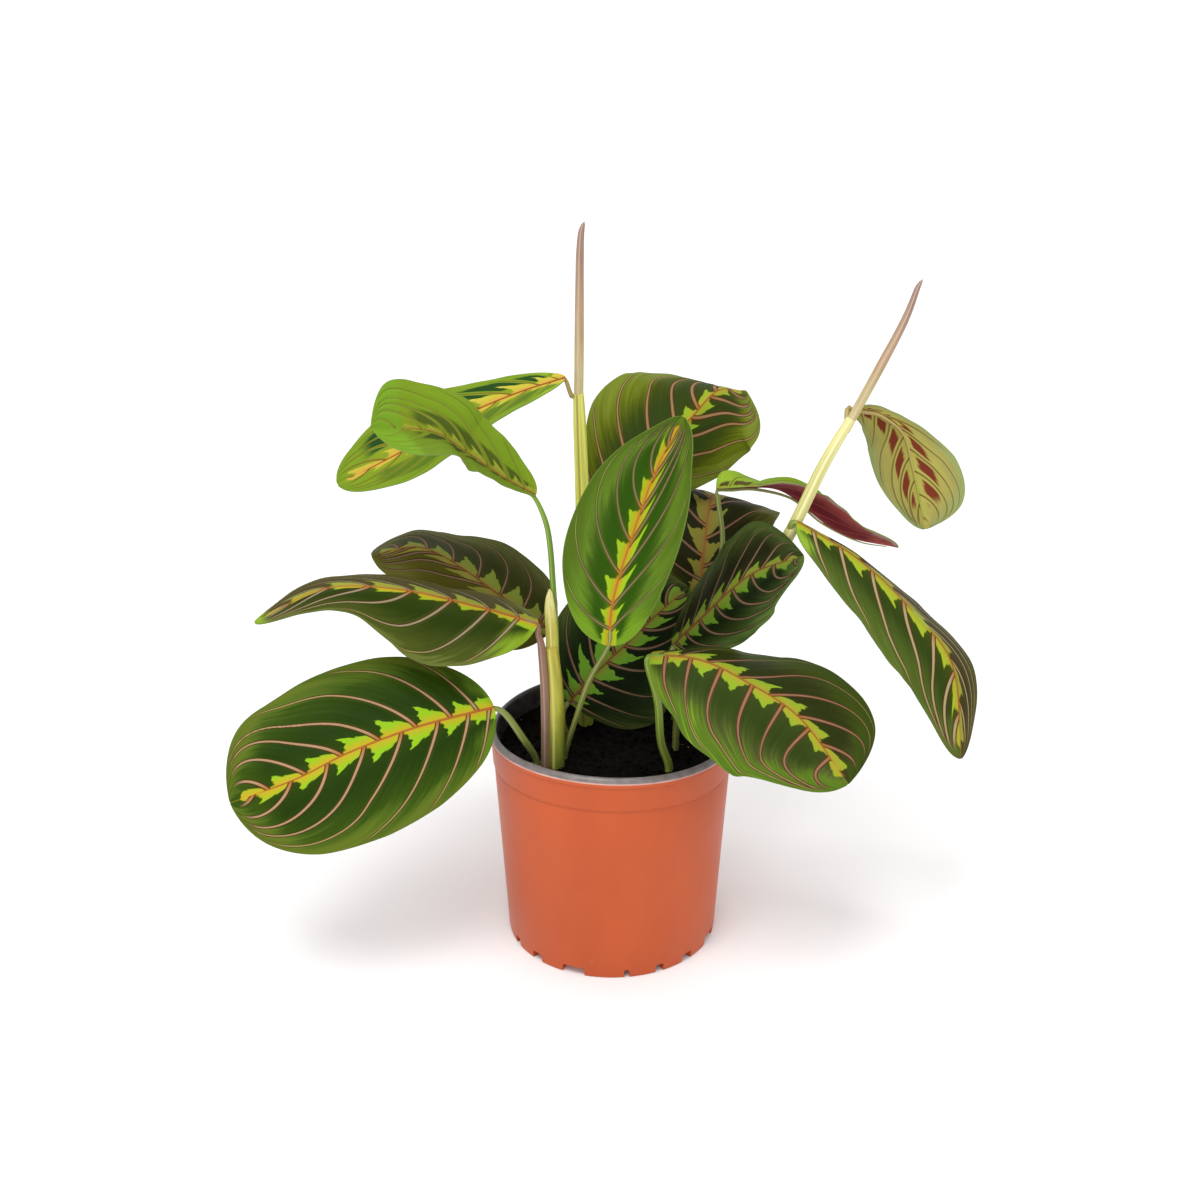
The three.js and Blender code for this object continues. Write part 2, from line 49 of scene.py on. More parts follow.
# Form. midrib runs from the blade's base to its tip. facing is the way the upper side looks at even
# stations (compass angle from the front to the right, height above the horizon). left and right are
# half-widths at four stations. foldL/R lift each half where it leaves the midrib and curlL/R bend it on to
# its edge, from base to tip. wave is the height and the start of the edge's waves. stalk runs up to the blade
# and radius is its radius at each point. A stalk whose first point has no height stands in the soil there.
# Finish, with the left half's value before the right's. face, under and stalk_look name entries of the
# tables below, and looks changes single values of the face. veins offsets the side veins along the midrib,
# in vein spacings, and sweep leans them to the tip (straight part, arched part, power of the arch).
# half_shade_share mixes in the painted_half_shade colour, a painted glancing sheen and shade on that half.
# blotch_sides and patch_sides scale the pale and the dark marks.
LEAVES = {
    "leaf_01": dict(
        midrib=[(-56, -30, 138), (-91, -42, 134), (-122, -52, 126), (-147, -60, 116), (-176.7, -64, 106)],
        facing=[(5, 42), (-3, 35), (-10, 28)],
        left=(25, 40, 41, 26), right=(23, 39, 40, 32), curlL=[-15], curlR=[-15], wave=(0.9, 0.1),
        stalk=[(-37, -19), (-42, -26, 118), (-50, -29, 133)], radius=[1.7, 1.7, 1.5],
        face="mature", stalk_look="olive", veins=(0.7, 0.1)),
    "leaf_02": dict(
        midrib=[(-35, -22, 178), (-62, -19, 185), (-99, -17, 193), (-134, -19, 194), (-166, -26, 180)],
        facing=[(0, 66), (0, 72), (0, 88), (-10, 95)],
        left=(20, 33, 18, 9), right=(20, 33, 29, 18), foldL=[-25, -28, -10, 0], foldR=[-24, -27, -7, 0],
        curlL=[-15], curlR=[-15], wave=(0.8, 0.4),
        stalk=[(-32, -20.6), (-31.9, -19.8, 136), (-33.4, -18.7, 163), (-35, -20, 172)],
        radius=[2.4, 2.3, 1.9, 1.3],
        face="mature", stalk_look="brown_sheath", veins=(0.0, 0.0), sweep=((0.2, 0.2, 2), (0.2, 0.36, 2)),
        half_shade_share=(0.1, 0.7), blotch_sides=(0.5, 1.3),
        looks=dict(vein="#8C8264", deep="#384515", mid="#3B4718", field="#434F1B", margin="#5E6830",
                   painted_half_shade="#4A3C04", foot="#7C9A26", foot_to=0.15, tip="#7E9A2C", tip_from=0.955)),
    "leaf_03": dict(
        midrib=[(-30, 32, 149), (-55, 35, 166), (-75, 35, 182), (-94, 33, 193), (-117, 28, 191)],
        facing=[(0, 50), (0, 60), (0, 80), (0, 85)],
        left=(19, 29, 29, 17), right=(22, 32, 29, 19), foldL=[-25, -30], foldR=[-5, -10], curlL=[-10],
        curlR=[-10], wave=(0.8, 0.7),
        stalk=[(-27, 14), (-27, 22, 126), (-24, 31, 145)], radius=[1.6, 1.6, 1.3],
        face="shaded", stalk_look="olive", veins=(0.5, 0.0), sweep=((0.9, 0.0, 2), (0.02, 0.3, 4)),
        half_shade_share=(0.55, 0.15), blotch_sides=(0.9, 1.4),
        looks=dict(painted_half_shade="#5F5818")),
    "leaf_04": dict(
        midrib=[(-35, -22, 242), (-49, -26, 252), (-66, -32, 267), (-80, -40, 279), (-104, -55, 286)],
        facing=[(0, 62), (0, 60), (0, 55), (-10, 45)],
        left=(8, 17, 27, 22), right=(9, 16, 20, 20), foldL=[35, 35, 25], foldR=[35, 35, 25],
        wave=(0.6, 0.2),
        stalk=[(-27, -8), (-27, -9, 136), (-27, -10, 166), (-28, -13, 195), (-29, -18, 216),
               (-31, -20, 229)], radius=[1.6, 1.6, 1.5, 1.4, 1.3, 1.2],
        face="young", stalk_look="green", veins=(0.3, 0.0), sweep=((0.2, 0.36, 2), (0.1, 0.9, 2)),
        half_shade_share=(0.3, 0.0), patch_sides=(1.0, 0.8),
        looks=dict(tan=0.3, painted_half_shade="#46581E", patch="#39451C", patch_from=0.12, patch_to=0.4,
                   patch_inset=0.14, patch_stop=0.82, vein="#8C883A", vein_end="#56741C", vein_width=0.32,
                   rib_stop=0.84, blotch_reach=0.15, heart="#8E8434", tip="#6E9226", tip_from=0.84)),
    "leaf_05": dict(
        midrib=[(-22, 20, 284), (-43, 20, 277), (-67, 18, 267), (-99, 12, 250), (-128, 4, 237)],
        facing=[(0, 72), (0, 62), (-5, 50), (-10, 40)],
        left=(10, 15, 18, 11), right=(7, 14, 21, 12), foldL=[10], foldR=[10], wave=(0.5, 0.5),
        stalk=[(-18.6, 22.6, 272.5), (-20.2, 21.6, 277), (-21.4, 20.6, 281.5)], radius=[1.1, 1.0, 1.0],
        face="young", stalk_look="tan", veins=(0.1, 0.6), blotch_sides=(0.7, 1.0), patch_sides=(0.5, 1.0),
        looks=dict(patch="#22421A", patch_from=0.32, patch_to=0.78, patch_inset=0.14, patch_soft=0.04,
                   patch_stop=0.88, blotch="#B4AE3A", heart="#BC9A3C", blotch_reach=0.34, vein="#8E5E2A",
                   midrib="#8E4A22", vein_width=0.32, foot="#7E9A26", foot_to=0.16)),
    "leaf_06": dict(
        midrib=[(-2, -52, 181), (0, -46, 201), (8, -36, 226), (19, -28, 256), (31, -24, 280)],
        facing=[(0, 25), (-3, 22), (-10, 15)],
        left=(16, 28, 25, 10), right=(16, 24, 24, 14), foldL=[5], foldR=[15, 20], curlR=[20, 30],
        wave=(0.8, 0.3),
        stalk=[(-23, -13), (-18, -22, 126), (-11, -36, 155)], radius=[1.4, 1.3, 1.2],
        face="fresh", stalk_look="olive", veins=(0.0, 0.15), sweep=((0.2, 0.3, 2), (0.8, 0.5, 2)),
        looks=dict(blotch_reach=0.23)),
    "leaf_07": dict(
        midrib=[(-6, 24, 215), (17, 38, 234), (38, 54, 252), (52, 72, 260), (67, 92, 253)],
        facing=[(50, 55), (50, 55), (40, 55)],
        left=(22, 41, 38, 18), right=(20, 36, 35, 28), foldL=[0, 0, -20, -50], foldR=[-65, -60, -30, 0],
        wave=(0.8, 0.6),
        stalk=[(-2, 36), (-3, 38, 150), (-9, 34, 190), (-11, 25, 206)], radius=[1.8, 1.7, 1.4, 1.3],
        face="olive", stalk_look="green", veins=(0.75, 0.1), sweep=((0.2, 0.36, 2), (0.1, 0.7, 1.5)),
        looks=dict(vein="#8A6E48", deep="#383D04", mid="#464E08", field="#5C6612", margin="#6B7726",
                   blotch_reach=0.19)),
    "leaf_08": dict(
        midrib=[(50, 30, 225), (64, 34, 224), (83, 36, 221), (111, 34, 200), (139, 30, 194)],
        facing=[(0, 80), (0, 108), (0, 100), (0, 95), (0, 90)],
        left=(12, 13, 9, 5), right=(12, 15, 16, 9), foldL=[30, 8, 60, 80, 80], foldR=[30, 8, 45, 50, 50],
        wave=(0.4, 0.0),
        stalk=[(32, 28), (40, 30, 150), (53, 31, 190), (51, 30, 218)], radius=[1.6, 1.5, 1.2, 1.1],
        face="young", under="wine", stalk_look="olive", veins=(0.0, 0.5),
        looks=dict(foot="#86A42C", foot_to=0.3, patch="#4E4420")),
    "leaf_09": dict(
        midrib=[(113, 28, 266), (127, 34, 261), (139, 38, 250), (145, 38, 231), (152, 32, 203)],
        facing=[(180, 20), (180, 5), (180, -5)],
        left=(8, 18, 18, 9), right=(3, 6, 23, 21), foldL=[10], foldR=[40, 40, 20, 10], wave=(0.5, 0.2),
        stalk=[(110, 21, 260), (110, 25, 266), (111.5, 27.5, 266.5)], radius=[1.5, 1.3, 1.2],
        face="young", stalk_look="tan", veins=(0.2, 0.6)),
    "leaf_10": dict(
        midrib=[(87, 6, 218), (115, -4, 203), (141, -16, 181), (159, -28, 158), (164, -40, 116)],
        facing=[(20, 78), (30, 68), (20, 40)],
        left=(12, 23, 26, 15), right=(14, 24, 25, 11), foldL=[-30], foldR=[-15], curlL=[-10], curlR=[-10],
        wave=(0.8, 0.8),
        stalk=[(84, 10.5, 210), (84.5, 8, 215), (85.5, 6.5, 217.6)], radius=[1.8, 1.6, 1.5],
        face="olive", stalk_look="green", veins=(0.4, 0.1), sweep=((0.2, 0.36, 2), (0.15, 0.3, 2)),
        half_shade_share=(0.6, 0.0),
        looks=dict(vein="#9A8C66", painted_half_shade="#3E2A05", deep="#42480F", mid="#455520", field="#45551B",
                   margin="#536328", foot="#7E9C30", foot_to=0.11, blotch="#92A428", blotch_reach=0.27,
                   tip="#5E4A30", tip_from=0.985)),
    "leaf_11": dict(
        midrib=[(28, -12, 162), (41, -15, 177), (53, -17, 191), (67, -16, 202), (89, -8, 206)],
        facing=[(0, 60), (0, 58), (15, 50)],
        left=(20, 26, 29, 30), right=(13, 22, 21, 10), foldL=[-25, -15], foldR=[-30], curlL=[-10],
        curlR=[-10], wave=(0.7, 0.4),
        stalk=[(31, -4), (31, -8, 140), (28, -11, 155)], radius=[1.7, 1.5, 1.4],
        face="shadiest", stalk_look="olive", veins=(0.0, 0.45), sweep=((0.5, 0.0, 2), (-0.08, 0.5, 3)),
        half_shade_share=(0.5, 0.0),
        looks=dict(tan=0.3, deep="#313F12", mid="#35441A", field="#3D4E23", margin="#4E652D",
                   painted_half_shade="#1E1806")),
    "leaf_12": dict(
        midrib=[(44, 44, 162), (46, 52, 186), (50, 70, 204), (57, 98, 192), (64, 116, 167)],
        facing=[(0, 40), (10, 70), (170, 60)],
        left=(20, 33, 33, 20), right=(20, 33, 33, 20), curlL=[-10], curlR=[-10], wave=(0.8, 0.1),
        stalk=[(16, 40), (28, 43, 132), (39, 43, 153)], radius=[1.7, 1.5, 1.4],
        face="dusky", stalk_look="olive", veins=(0.0, 0.4),
        looks=dict(blotch="#76742E", heart="#7A6A30", blotch_reach=0.3)),
    "leaf_13": dict(
        midrib=[(17, -44, 173), (39, -52, 174), (59, -59, 167), (84, -67, 152), (106, -77.8, 124)],
        facing=[(-5, 72), (0, 66), (5, 50), (10, 38)],
        left=(18, 36, 41, 31), right=(24, 37, 38, 20), foldL=[-26, -24, -5], foldR=[-20, -20, -5],
        curlL=[-20], curlR=[-20, -10], wave=(0.9, 0.6),
        stalk=[(27, -24), (23, -26, 118), (21, -33, 143), (16, -41, 166)], radius=[2, 1.9, 1.8, 1.6],
        face="olive", stalk_look="green", veins=(0.45, 0.0), sweep=((0.38, 0.0, 2), (0.02, 0.3, 4)),
        half_shade_share=(0.7, 0.0), blotch_sides=(1.1, 0.8),
        looks=dict(vein="#86634A", painted_half_shade="#242608", painted_fleck_highlights=0.5, tan=0.2)),
    "leaf_14": dict(
        midrib=[(-21, -4, 127), (-7, 0, 142), (8, 6, 155), (21, 14, 165), (37, 25, 175)],
        facing=[(0, 15), (0, 20), (0, 35)],
        left=(20, 33, 32, 20), right=(30, 38, 26, 13), curlL=[-10], curlR=[-10], wave=(0.8, 0.9),
        stalk=[(-22, 1), (-24, -2, 114), (-24, -4, 122)], radius=[1.6, 1.5, 1.4],
        face="shadiest", stalk_look="olive", veins=(0.35, 0.8), blotch_sides=(1.6, 1.2),
        looks=dict(deep="#101C09", mid="#202E12", blotch="#5A8624")),
}

GENTLE_SWEEP = ((0.2, 0.36, 2), (0.2, 0.36, 2))  # the side veins of a leaf that gives no sweep
WAVES = 3  # along each edge of a blade
BLADE_THICKNESS = 0.5
BLADE_ROWS = 170
BLADE_COLUMNS = 76
BLADE_END = 0.8  # the least half-width, at the base and the tip
SOIL_TOP = 101
ROOT_DEPTH = 4  # a stalk goes this far down between the crumbs
ROOT_RISE = 3  # and stands straight up to this height over the soil

# ------------------------------------------------------------------ colours and nodes


def linear(hex_colour):
    """An sRGB hex colour as linear red, green, blue and alpha."""
    values = [int(hex_colour[i:i + 2], 16) / 255 for i in (1, 3, 5)]
    return [v / 12.92 if v <= 0.04045 else ((v + 0.055) / 1.055) ** 2.4 for v in values] + [1.0]


SOFTLY = dict(interpolation_type="SMOOTHSTEP")  # for a map range that eases in and out
COLOURS = dict(data_type="RGBA", output=2)  # for a mix of two colours


def add(tree, kind, inputs=None, output=0, ramp=None, **settings):
    """Adds a node and gives one of its outputs. inputs are links or values, ramp a colour ramp's stops."""
    node = tree.nodes.new("ShaderNode" + kind)
    for name, value in settings.items():
        setattr(node, name, value)
    for key, value in (inputs or {}).items():
        if isinstance(value, bpy.types.NodeSocket):
            tree.links.new(value, node.inputs[key])
        else:
            node.inputs[key].default_value = value
    if ramp:
        stops = node.color_ramp.elements
        while len(stops) < len(ramp):
            stops.new(0.5)
        for stop, (place, colour) in zip(stops, ramp):
            stop.position = place
            stop.color = linear(colour) if isinstance(colour, str) else [colour] * 3 + [1]
    return node.outputs[output]


def new_material(name):
    material = bpy.data.materials.new(name)
    material.use_nodes = True
    tree = material.node_tree
    return material, tree, tree.nodes["Principled BSDF"]


# What a leaf's face has unless its finish says otherwise.
PLAIN = dict(deep_to=0.6, foot_to=0.1, patch_from=0.1, patch_to=0.6, patch_inset=0.08, patch_soft=0.3,
             patch_stop=0.9, rib_stop=0.92, vein_width=0.8, rough=0.5, painted_half_shade="#4E4420", tan=0.9, painted_fleck_highlights=0.0,
             tip=None)

# Finishes of a leaf's faces. deep, mid, field and margin run from the midrib to the edge, and deep_to is
# where mid begins. foot is the light zone at the base, up to foot_to of the length. blotch is the pale mark
# beside the midrib, heart is its middle, and blotch_reach is a share of the half-width. patch is the dark
# mark between two side veins: from and to are shares of the half-width, inset keeps it off the veins, soft
# blurs it, and it ends at patch_stop of the length, as the midrib does at rib_stop. vein, vein_edge and
# vein_end are a side vein, the dark line beside it and its outer end, and vein_width is half its width in
# millimetres. edge is the dry line round the blade. painted_half_shade is the colour of a half that has
# painted glancing sheen and shade, and tan is how far the pale marks go a painted tan there.
# painted_fleck_highlights is the strength of the light flecks, painted highlights on the wax, and tip is
# the colour past tip_from of the length.
FINISHES = {
    "mature": dict(
        deep="#2C4108", mid="#32490D", field="#4B5F1A", margin="#56651E", foot="#55701C", foot_to=0.12,
        blotch="#84B01E", heart="#B09A24", vein="#A18361", vein_edge="#3E1E10", vein_end="#8A8048",
        midrib="#A0602A", edge="#5E6A34", deep_to=0.68, patch="#1F3407", patch_to=0.55, patch_inset=0.1,
        patch_soft=0.25, vein_width=0.9, blotch_reach=0.235),
    "olive": dict(
        deep="#384218", mid="#4C5525", field="#526B1C", margin="#4E6A1D", foot="#5F7222", blotch="#7E9E24",
        heart="#98902A", vein="#8A684A", vein_edge="#4A2216", vein_end="#84804A", midrib="#8E5E28",
        edge="#66703A", deep_to=0.55, patch="#2B3A10", patch_to=0.55, patch_soft=0.25, vein_width=1.0,
        blotch_reach=0.24),
    "fresh": dict(
        deep="#3A5208", mid="#43581A", field="#546F1F", margin="#475D17", foot="#64861F", foot_to=0.24,
        blotch="#8CAC1E", heart="#B08A22", vein="#726544", vein_edge="#3A4018", vein_end="#788640",
        midrib="#A4682A", edge="#6E8444", deep_to=0.5, patch="#284808", patch_from=0.12, patch_to=0.5,
        patch_inset=0.1, patch_soft=0.14, vein_width=0.7, blotch_reach=0.28, rough=0.48),
    "dusky": dict(
        deep="#20240A", mid="#302E10", field="#454819", margin="#50552A", foot="#3E4018", blotch="#8A8446",
        heart="#8E7A38", vein="#725843", vein_edge="#2E1A10", vein_end="#6E6A44", midrib="#84582C",
        edge="#565234", painted_half_shade="#3A3218", patch="#20200C", blotch_reach=0.34),
    # shaded and shadiest are for leaves in the shade of others: their colours are darkened with painted shade
    "shaded": dict(
        deep="#333719", mid="#393E22", field="#434924", margin="#4C532A", foot="#444E20", blotch="#6E8230",
        heart="#7E7634", vein="#77604A", vein_edge="#301A12", vein_end="#66643E", midrib="#7A5028",
        edge="#525A38", painted_half_shade="#4A3E22", patch="#1F270D", blotch_reach=0.25),
    "shadiest": dict(
        deep="#131D08", mid="#1B2710", field="#2A3616", margin="#424C22", foot="#2E3A14", blotch="#567A20",
        heart="#6A7226", vein="#685540", vein_edge="#28150E", vein_end="#5A5A36", midrib="#6A4824",
        edge="#424A2C", painted_half_shade="#241E0E", patch="#0F1806", blotch_reach=0.26),
    "young": dict(
        deep="#7B8D20", mid="#728822", field="#6E8A1E", margin="#6F8922", foot="#768C22", foot_to=0.12,
        blotch="#98A034", heart="#A08C34", vein="#84702E", vein_edge="#5C6C22", vein_end="#566E1E",
        midrib="#84542A", edge="#74844A", painted_half_shade="#4E5A28", deep_to=0.4, patch="#2C4216", patch_from=0.12,
        patch_to=0.36, patch_inset=0.13, patch_soft=0.05, vein_width=0.36, blotch_reach=0.13, rough=0.48),
    # undersides
    "plum": dict(
        deep="#4C2428", mid="#502A2C", field="#543430", margin="#5E563A", foot="#54482E", blotch="#62423A",
        heart="#6E543C", vein="#6E4640", vein_edge="#402024", vein_end="#625042", midrib="#7A5E3C",
        edge="#6A6450", deep_to=0.75, patch="#421C22", patch_from=0.0, patch_to=0.7, patch_inset=0.05,
        vein_width=0.6, blotch_reach=0.16, rough=0.55),
    "wine": dict(
        deep="#A0504A", mid="#984642", field="#985450", margin="#A48A80", foot="#7E6A3A", foot_to=0.16,
        blotch="#A0524A", heart="#A45E52", vein="#7E3834", vein_edge="#883E3A", vein_end="#9A6A64",
        midrib="#84403A", edge="#9A8E80", deep_to=0.82, patch="#641E26", patch_from=0.0, patch_to=0.7,
        patch_inset=0.05, vein_width=0.3, blotch_reach=0.08, rough=0.42),
    "freckled": dict(
        deep="#A09A4C", mid="#9A944E", field="#948E50", margin="#88925A", foot="#98A03C", foot_to=0.08,
        blotch="#A4A046", heart="#A69A42", vein="#78622E", vein_edge="#8A8246", vein_end="#746A42",
        midrib="#6E4420", edge="#7E8E5C", deep_to=0.55, patch="#6E3020", patch_from=0.15, patch_to=0.44,
        patch_inset=0.19, patch_soft=0.04, vein_width=0.36, blotch_reach=0.1),
}


def leaf_face(name, look, leaf, seed):
    """A leaf's face: thin waxy tissue over a net of veins, so satin, streaked along the veins and quilted.

    It reads the blade's own place attribute (share of the half-width, share of the length, vein number)
    and reach attribute (millimetres from the midrib, between two side veins, and from the edge).
    """
    full = look["blotch_reach"] * max(*leaf["left"], *leaf["right"])
    half_shade_left, half_shade_right = leaf.get("half_shade_share", (0.0, 0.0))
    material, tree, shader = new_material(name)
    place = add(tree, "Attribute", attribute_name="place", output="Vector")
    reach = add(tree, "Attribute", attribute_name="reach", output="Vector")
    across, along, number = add(tree, "SeparateXYZ", {0: place}).node.outputs
    off_rib, spacing, off_edge = add(tree, "SeparateXYZ", {0: reach}).node.outputs
    side = add(tree, "Math", {0: across, 1: 0.0}, operation="GREATER_THAN")
    share = add(tree, "Math", {0: across}, operation="ABSOLUTE")
    off_rib = add(tree, "Math", {0: off_rib}, operation="ABSOLUTE")
    offset = add(tree, "MapRange", {0: side, 3: leaf["veins"][0], 4: leaf["veins"][1]})
    # where a point lies between two side veins, 0 to 1 towards the tip, and millimetres from the nearer one
    number = add(tree, "Math", {0: number, 1: offset}, operation="ADD")
    cell = add(tree, "Math", {0: number}, operation="FRACT")
    cell_number = add(tree, "Math", {0: number}, operation="FLOOR")
    off_vein = add(tree, "Math", {0: number, 1: 0.5}, operation="PINGPONG")
    off_vein_mm = add(tree, "Math", {0: off_vein, 1: spacing}, operation="MULTIPLY")

    # streaks and clouds are long in the direction of the veins
    apart = add(tree, "Math", {0: side, 1: 37.0, 2: seed * 3.1}, operation="MULTIPLY_ADD")
    flow = add(tree, "CombineXYZ", {0: number, 1: share, 2: apart})
    streak_flow = add(tree, "VectorMath", {0: flow, 1: (8.0, 1.7, 1.0)}, operation="MULTIPLY")
    streaks = add(tree, "TexNoise", {"Vector": streak_flow, "Scale": 1.0, "Detail": 3.0, "Roughness": 0.6})
    cloud_flow = add(tree, "VectorMath", {0: flow, 1: (1.6, 2.4, 1.0)}, operation="MULTIPLY")
    clouds = add(tree, "TexNoise", {"Vector": cloud_flow, "Scale": 1.0, "Detail": 3.0})

    # green from the midrib out to the margin and the tip, with a feathered border
    feather = add(tree, "Math", {0: streaks, 1: 0.36, 2: share}, operation="MULTIPLY_ADD")
    feather = add(tree, "Math", {0: clouds, 1: 0.8, 2: feather}, operation="MULTIPLY_ADD")
    to_tip = add(tree, "MapRange", {0: along, 1: 0.8, 2: 1.0, 3: -0.58, 4: 0.0})
    feather = add(tree, "Math", {0: feather, 1: to_tip}, operation="ADD")
    deep_to = look["deep_to"]
    tissue = add(tree, "ValToRGB", {0: feather}, ramp=[
        (deep_to * 0.5, look["deep"]), (deep_to, look["mid"]), (min(deep_to + 0.2, 0.93), look["field"]),
        (0.98, look["margin"])])
    foot = add(tree, "Math", {0: streaks, 1: -0.12, 2: along}, operation="MULTIPLY_ADD")
    foot = add(tree, "MapRange", {0: foot, 1: 0.0, 2: look["foot_to"] - 0.06, 3: 1.0, 4: 0.0}, **SOFTLY)
    tissue = add(tree, "Mix", {0: foot, 6: tissue, 7: linear(look["foot"])}, **COLOURS)

    # the dark patch between each two veins
    patch_place = add(tree, "Math", {0: streaks, 1: 0.16, 2: share}, operation="MULTIPLY_ADD")
    patch_place = add(tree, "Math", {0: patch_place, 1: -0.08}, operation="ADD")
    start, end, soft = look["patch_from"], look["patch_to"], look["patch_soft"]
    past_start = add(tree, "MapRange", {0: patch_place, 1: start - soft, 2: start + soft}, **SOFTLY)
    before_end = add(tree, "MapRange", {0: patch_place, 1: end + soft, 2: end - soft}, **SOFTLY)
    inset = look["patch_inset"]
    off_both = add(tree, "MapRange", {0: off_vein, 1: inset - 0.04, 2: inset + 0.05}, **SOFTLY)
    patch = add(tree, "Math", {0: past_start, 1: before_end}, operation="MULTIPLY")
    stop = look["patch_stop"]
    by_tip = add(tree, "MapRange", {0: along, 1: stop, 2: stop - 0.08}, **SOFTLY)
    patch = add(tree, "Math", {0: patch, 1: by_tip}, operation="MULTIPLY")
    left_patch, right_patch = leaf.get("patch_sides", (1.0, 1.0))
    by_side = add(tree, "MapRange", {0: side, 3: left_patch, 4: right_patch})
    patch = add(tree, "Math", {0: patch, 1: by_side}, operation="MULTIPLY")
    patch = add(tree, "Math", {0: patch, 1: off_both}, operation="MULTIPLY")
    colour = add(tree, "Mix", {0: patch, 6: tissue, 7: linear(look["patch"])}, **COLOURS)
    brighter = add(tree, "MapRange", {0: streaks, 1: 0.3, 2: 0.7, 3: 0.93, 4: 1.08})
    colour = add(tree, "HueSaturation", {"Value": brighter, "Color": colour})

    # light flecks along the veins near the right margin: painted highlights on the waxy streaks
    fleck_highlight = add(tree, "MapRange", {0: streaks, 1: 0.56, 2: 0.66, 3: 0.0, 4: look["painted_fleck_highlights"]})
    fleck_highlight = add(tree, "Math", {0: fleck_highlight, 1: side}, operation="MULTIPLY")
    outward = add(tree, "MapRange", {0: share, 1: 0.5, 2: 0.75}, **SOFTLY)
    fleck_highlight = add(tree, "Math", {0: fleck_highlight, 1: outward}, operation="MULTIPLY")
    colour = add(tree, "Mix", {0: fleck_highlight, 6: colour, 7: linear("#86A02E")}, **COLOURS)
    # painted glancing sheen and shade, mixed into one half of the blade
    painted_half_shade = add(tree, "MapRange", {0: side, 3: half_shade_left, 4: half_shade_right})
    colour = add(tree, "Mix", {0: painted_half_shade, 6: colour, 7: linear(look["painted_half_shade"])}, **COLOURS)

    # the pale toothed blotch in each cell: it widens towards the tip and ends in ragged points
    ragged_place = add(tree, "CombineXYZ", {0: cell_number, 1: off_rib, 2: apart})
    ragged_place = add(tree, "VectorMath", {0: ragged_place, 1: (7.3, 0.42, 1.0)}, operation="MULTIPLY")
    ragged = add(tree, "TexNoise", {"Vector": ragged_place, "Scale": 1.0, "Detail": 1.0})
    warped = add(tree, "Math", {0: ragged, 1: 0.26, 2: cell}, operation="MULTIPLY_ADD")
    warped = add(tree, "Math", {0: warped, 1: -0.13}, operation="ADD")
    tooth = add(tree, "ValToRGB", {0: warped}, ramp=[
        (0.0, 0.12), (0.08, 0.38), (0.28, 0.66), (0.33, 0.6), (0.5, 0.95), (0.58, 1.0),
        (0.64, 0.6), (0.72, 0.46), (0.8, 0.22), (1.0, 0.1)])
    # it fills the blade's foot and stops short of the tip
    by_length = add(tree, "ValToRGB", {0: along}, ramp=[
        (0.0, 0.6), (0.12, 0.72), (0.26, 1.0), (0.45, 0.95), (0.62, 0.75), (0.8, 0.55), (0.94, 0.5),
        (0.965, 0.0)])
    tooth = add(tree, "Math", {0: tooth, 1: by_length}, operation="MULTIPLY")
    left_reach, right_reach = leaf.get("blotch_sides", (1.0, 1.0))
    by_side = add(tree, "MapRange", {0: side, 3: left_reach * full, 4: right_reach * full})
    tooth = add(tree, "Math", {0: tooth, 1: by_side}, operation="MULTIPLY")
    band = add(tree, "MapRange", {0: along, 1: 0.04, 2: 0.2, 3: full * 0.55, 4: 0.0})
    tooth = add(tree, "Math", {0: tooth, 1: band}, operation="MAXIMUM")
    inside = add(tree, "Math", {0: tooth, 1: off_rib}, operation="SUBTRACT")
    blotch = add(tree, "MapRange", {0: inside, 1: -0.45, 2: 0.55}, **SOFTLY)
    heart = add(tree, "MapRange", {0: off_rib, 1: full * 0.08, 2: full * 0.5})
    heart = add(tree, "Math", {0: streaks, 1: 0.7, 2: heart}, operation="MULTIPLY_ADD")
    heart = add(tree, "Math", {0: heart, 1: -0.35}, operation="ADD")
    pale = add(tree, "Mix", {0: heart, 6: linear(look["heart"]), 7: linear(look["blotch"])}, **COLOURS)
    # on that half the pale marks also take a painted tan
    blotch_half_shade = add(tree, "Math", {0: painted_half_shade, 1: look["tan"]}, operation="MULTIPLY")
    pale = add(tree, "Mix", {0: blotch_half_shade, 6: pale, 7: linear("#8A7C34")}, **COLOURS)
    colour = add(tree, "Mix", {0: blotch, 6: colour, 7: pale}, **COLOURS)

    # some blades end in a plain light or dry tip
    if look["tip"]:
        tip = add(tree, "Math", {0: streaks, 1: 0.1, 2: along}, operation="MULTIPLY_ADD")
        start = look["tip_from"]
        tip = add(tree, "MapRange", {0: tip, 1: start + 0.03, 2: start + 0.08}, **SOFTLY)
        colour = add(tree, "Mix", {0: tip, 6: colour, 7: linear(look["tip"])}, **COLOURS)

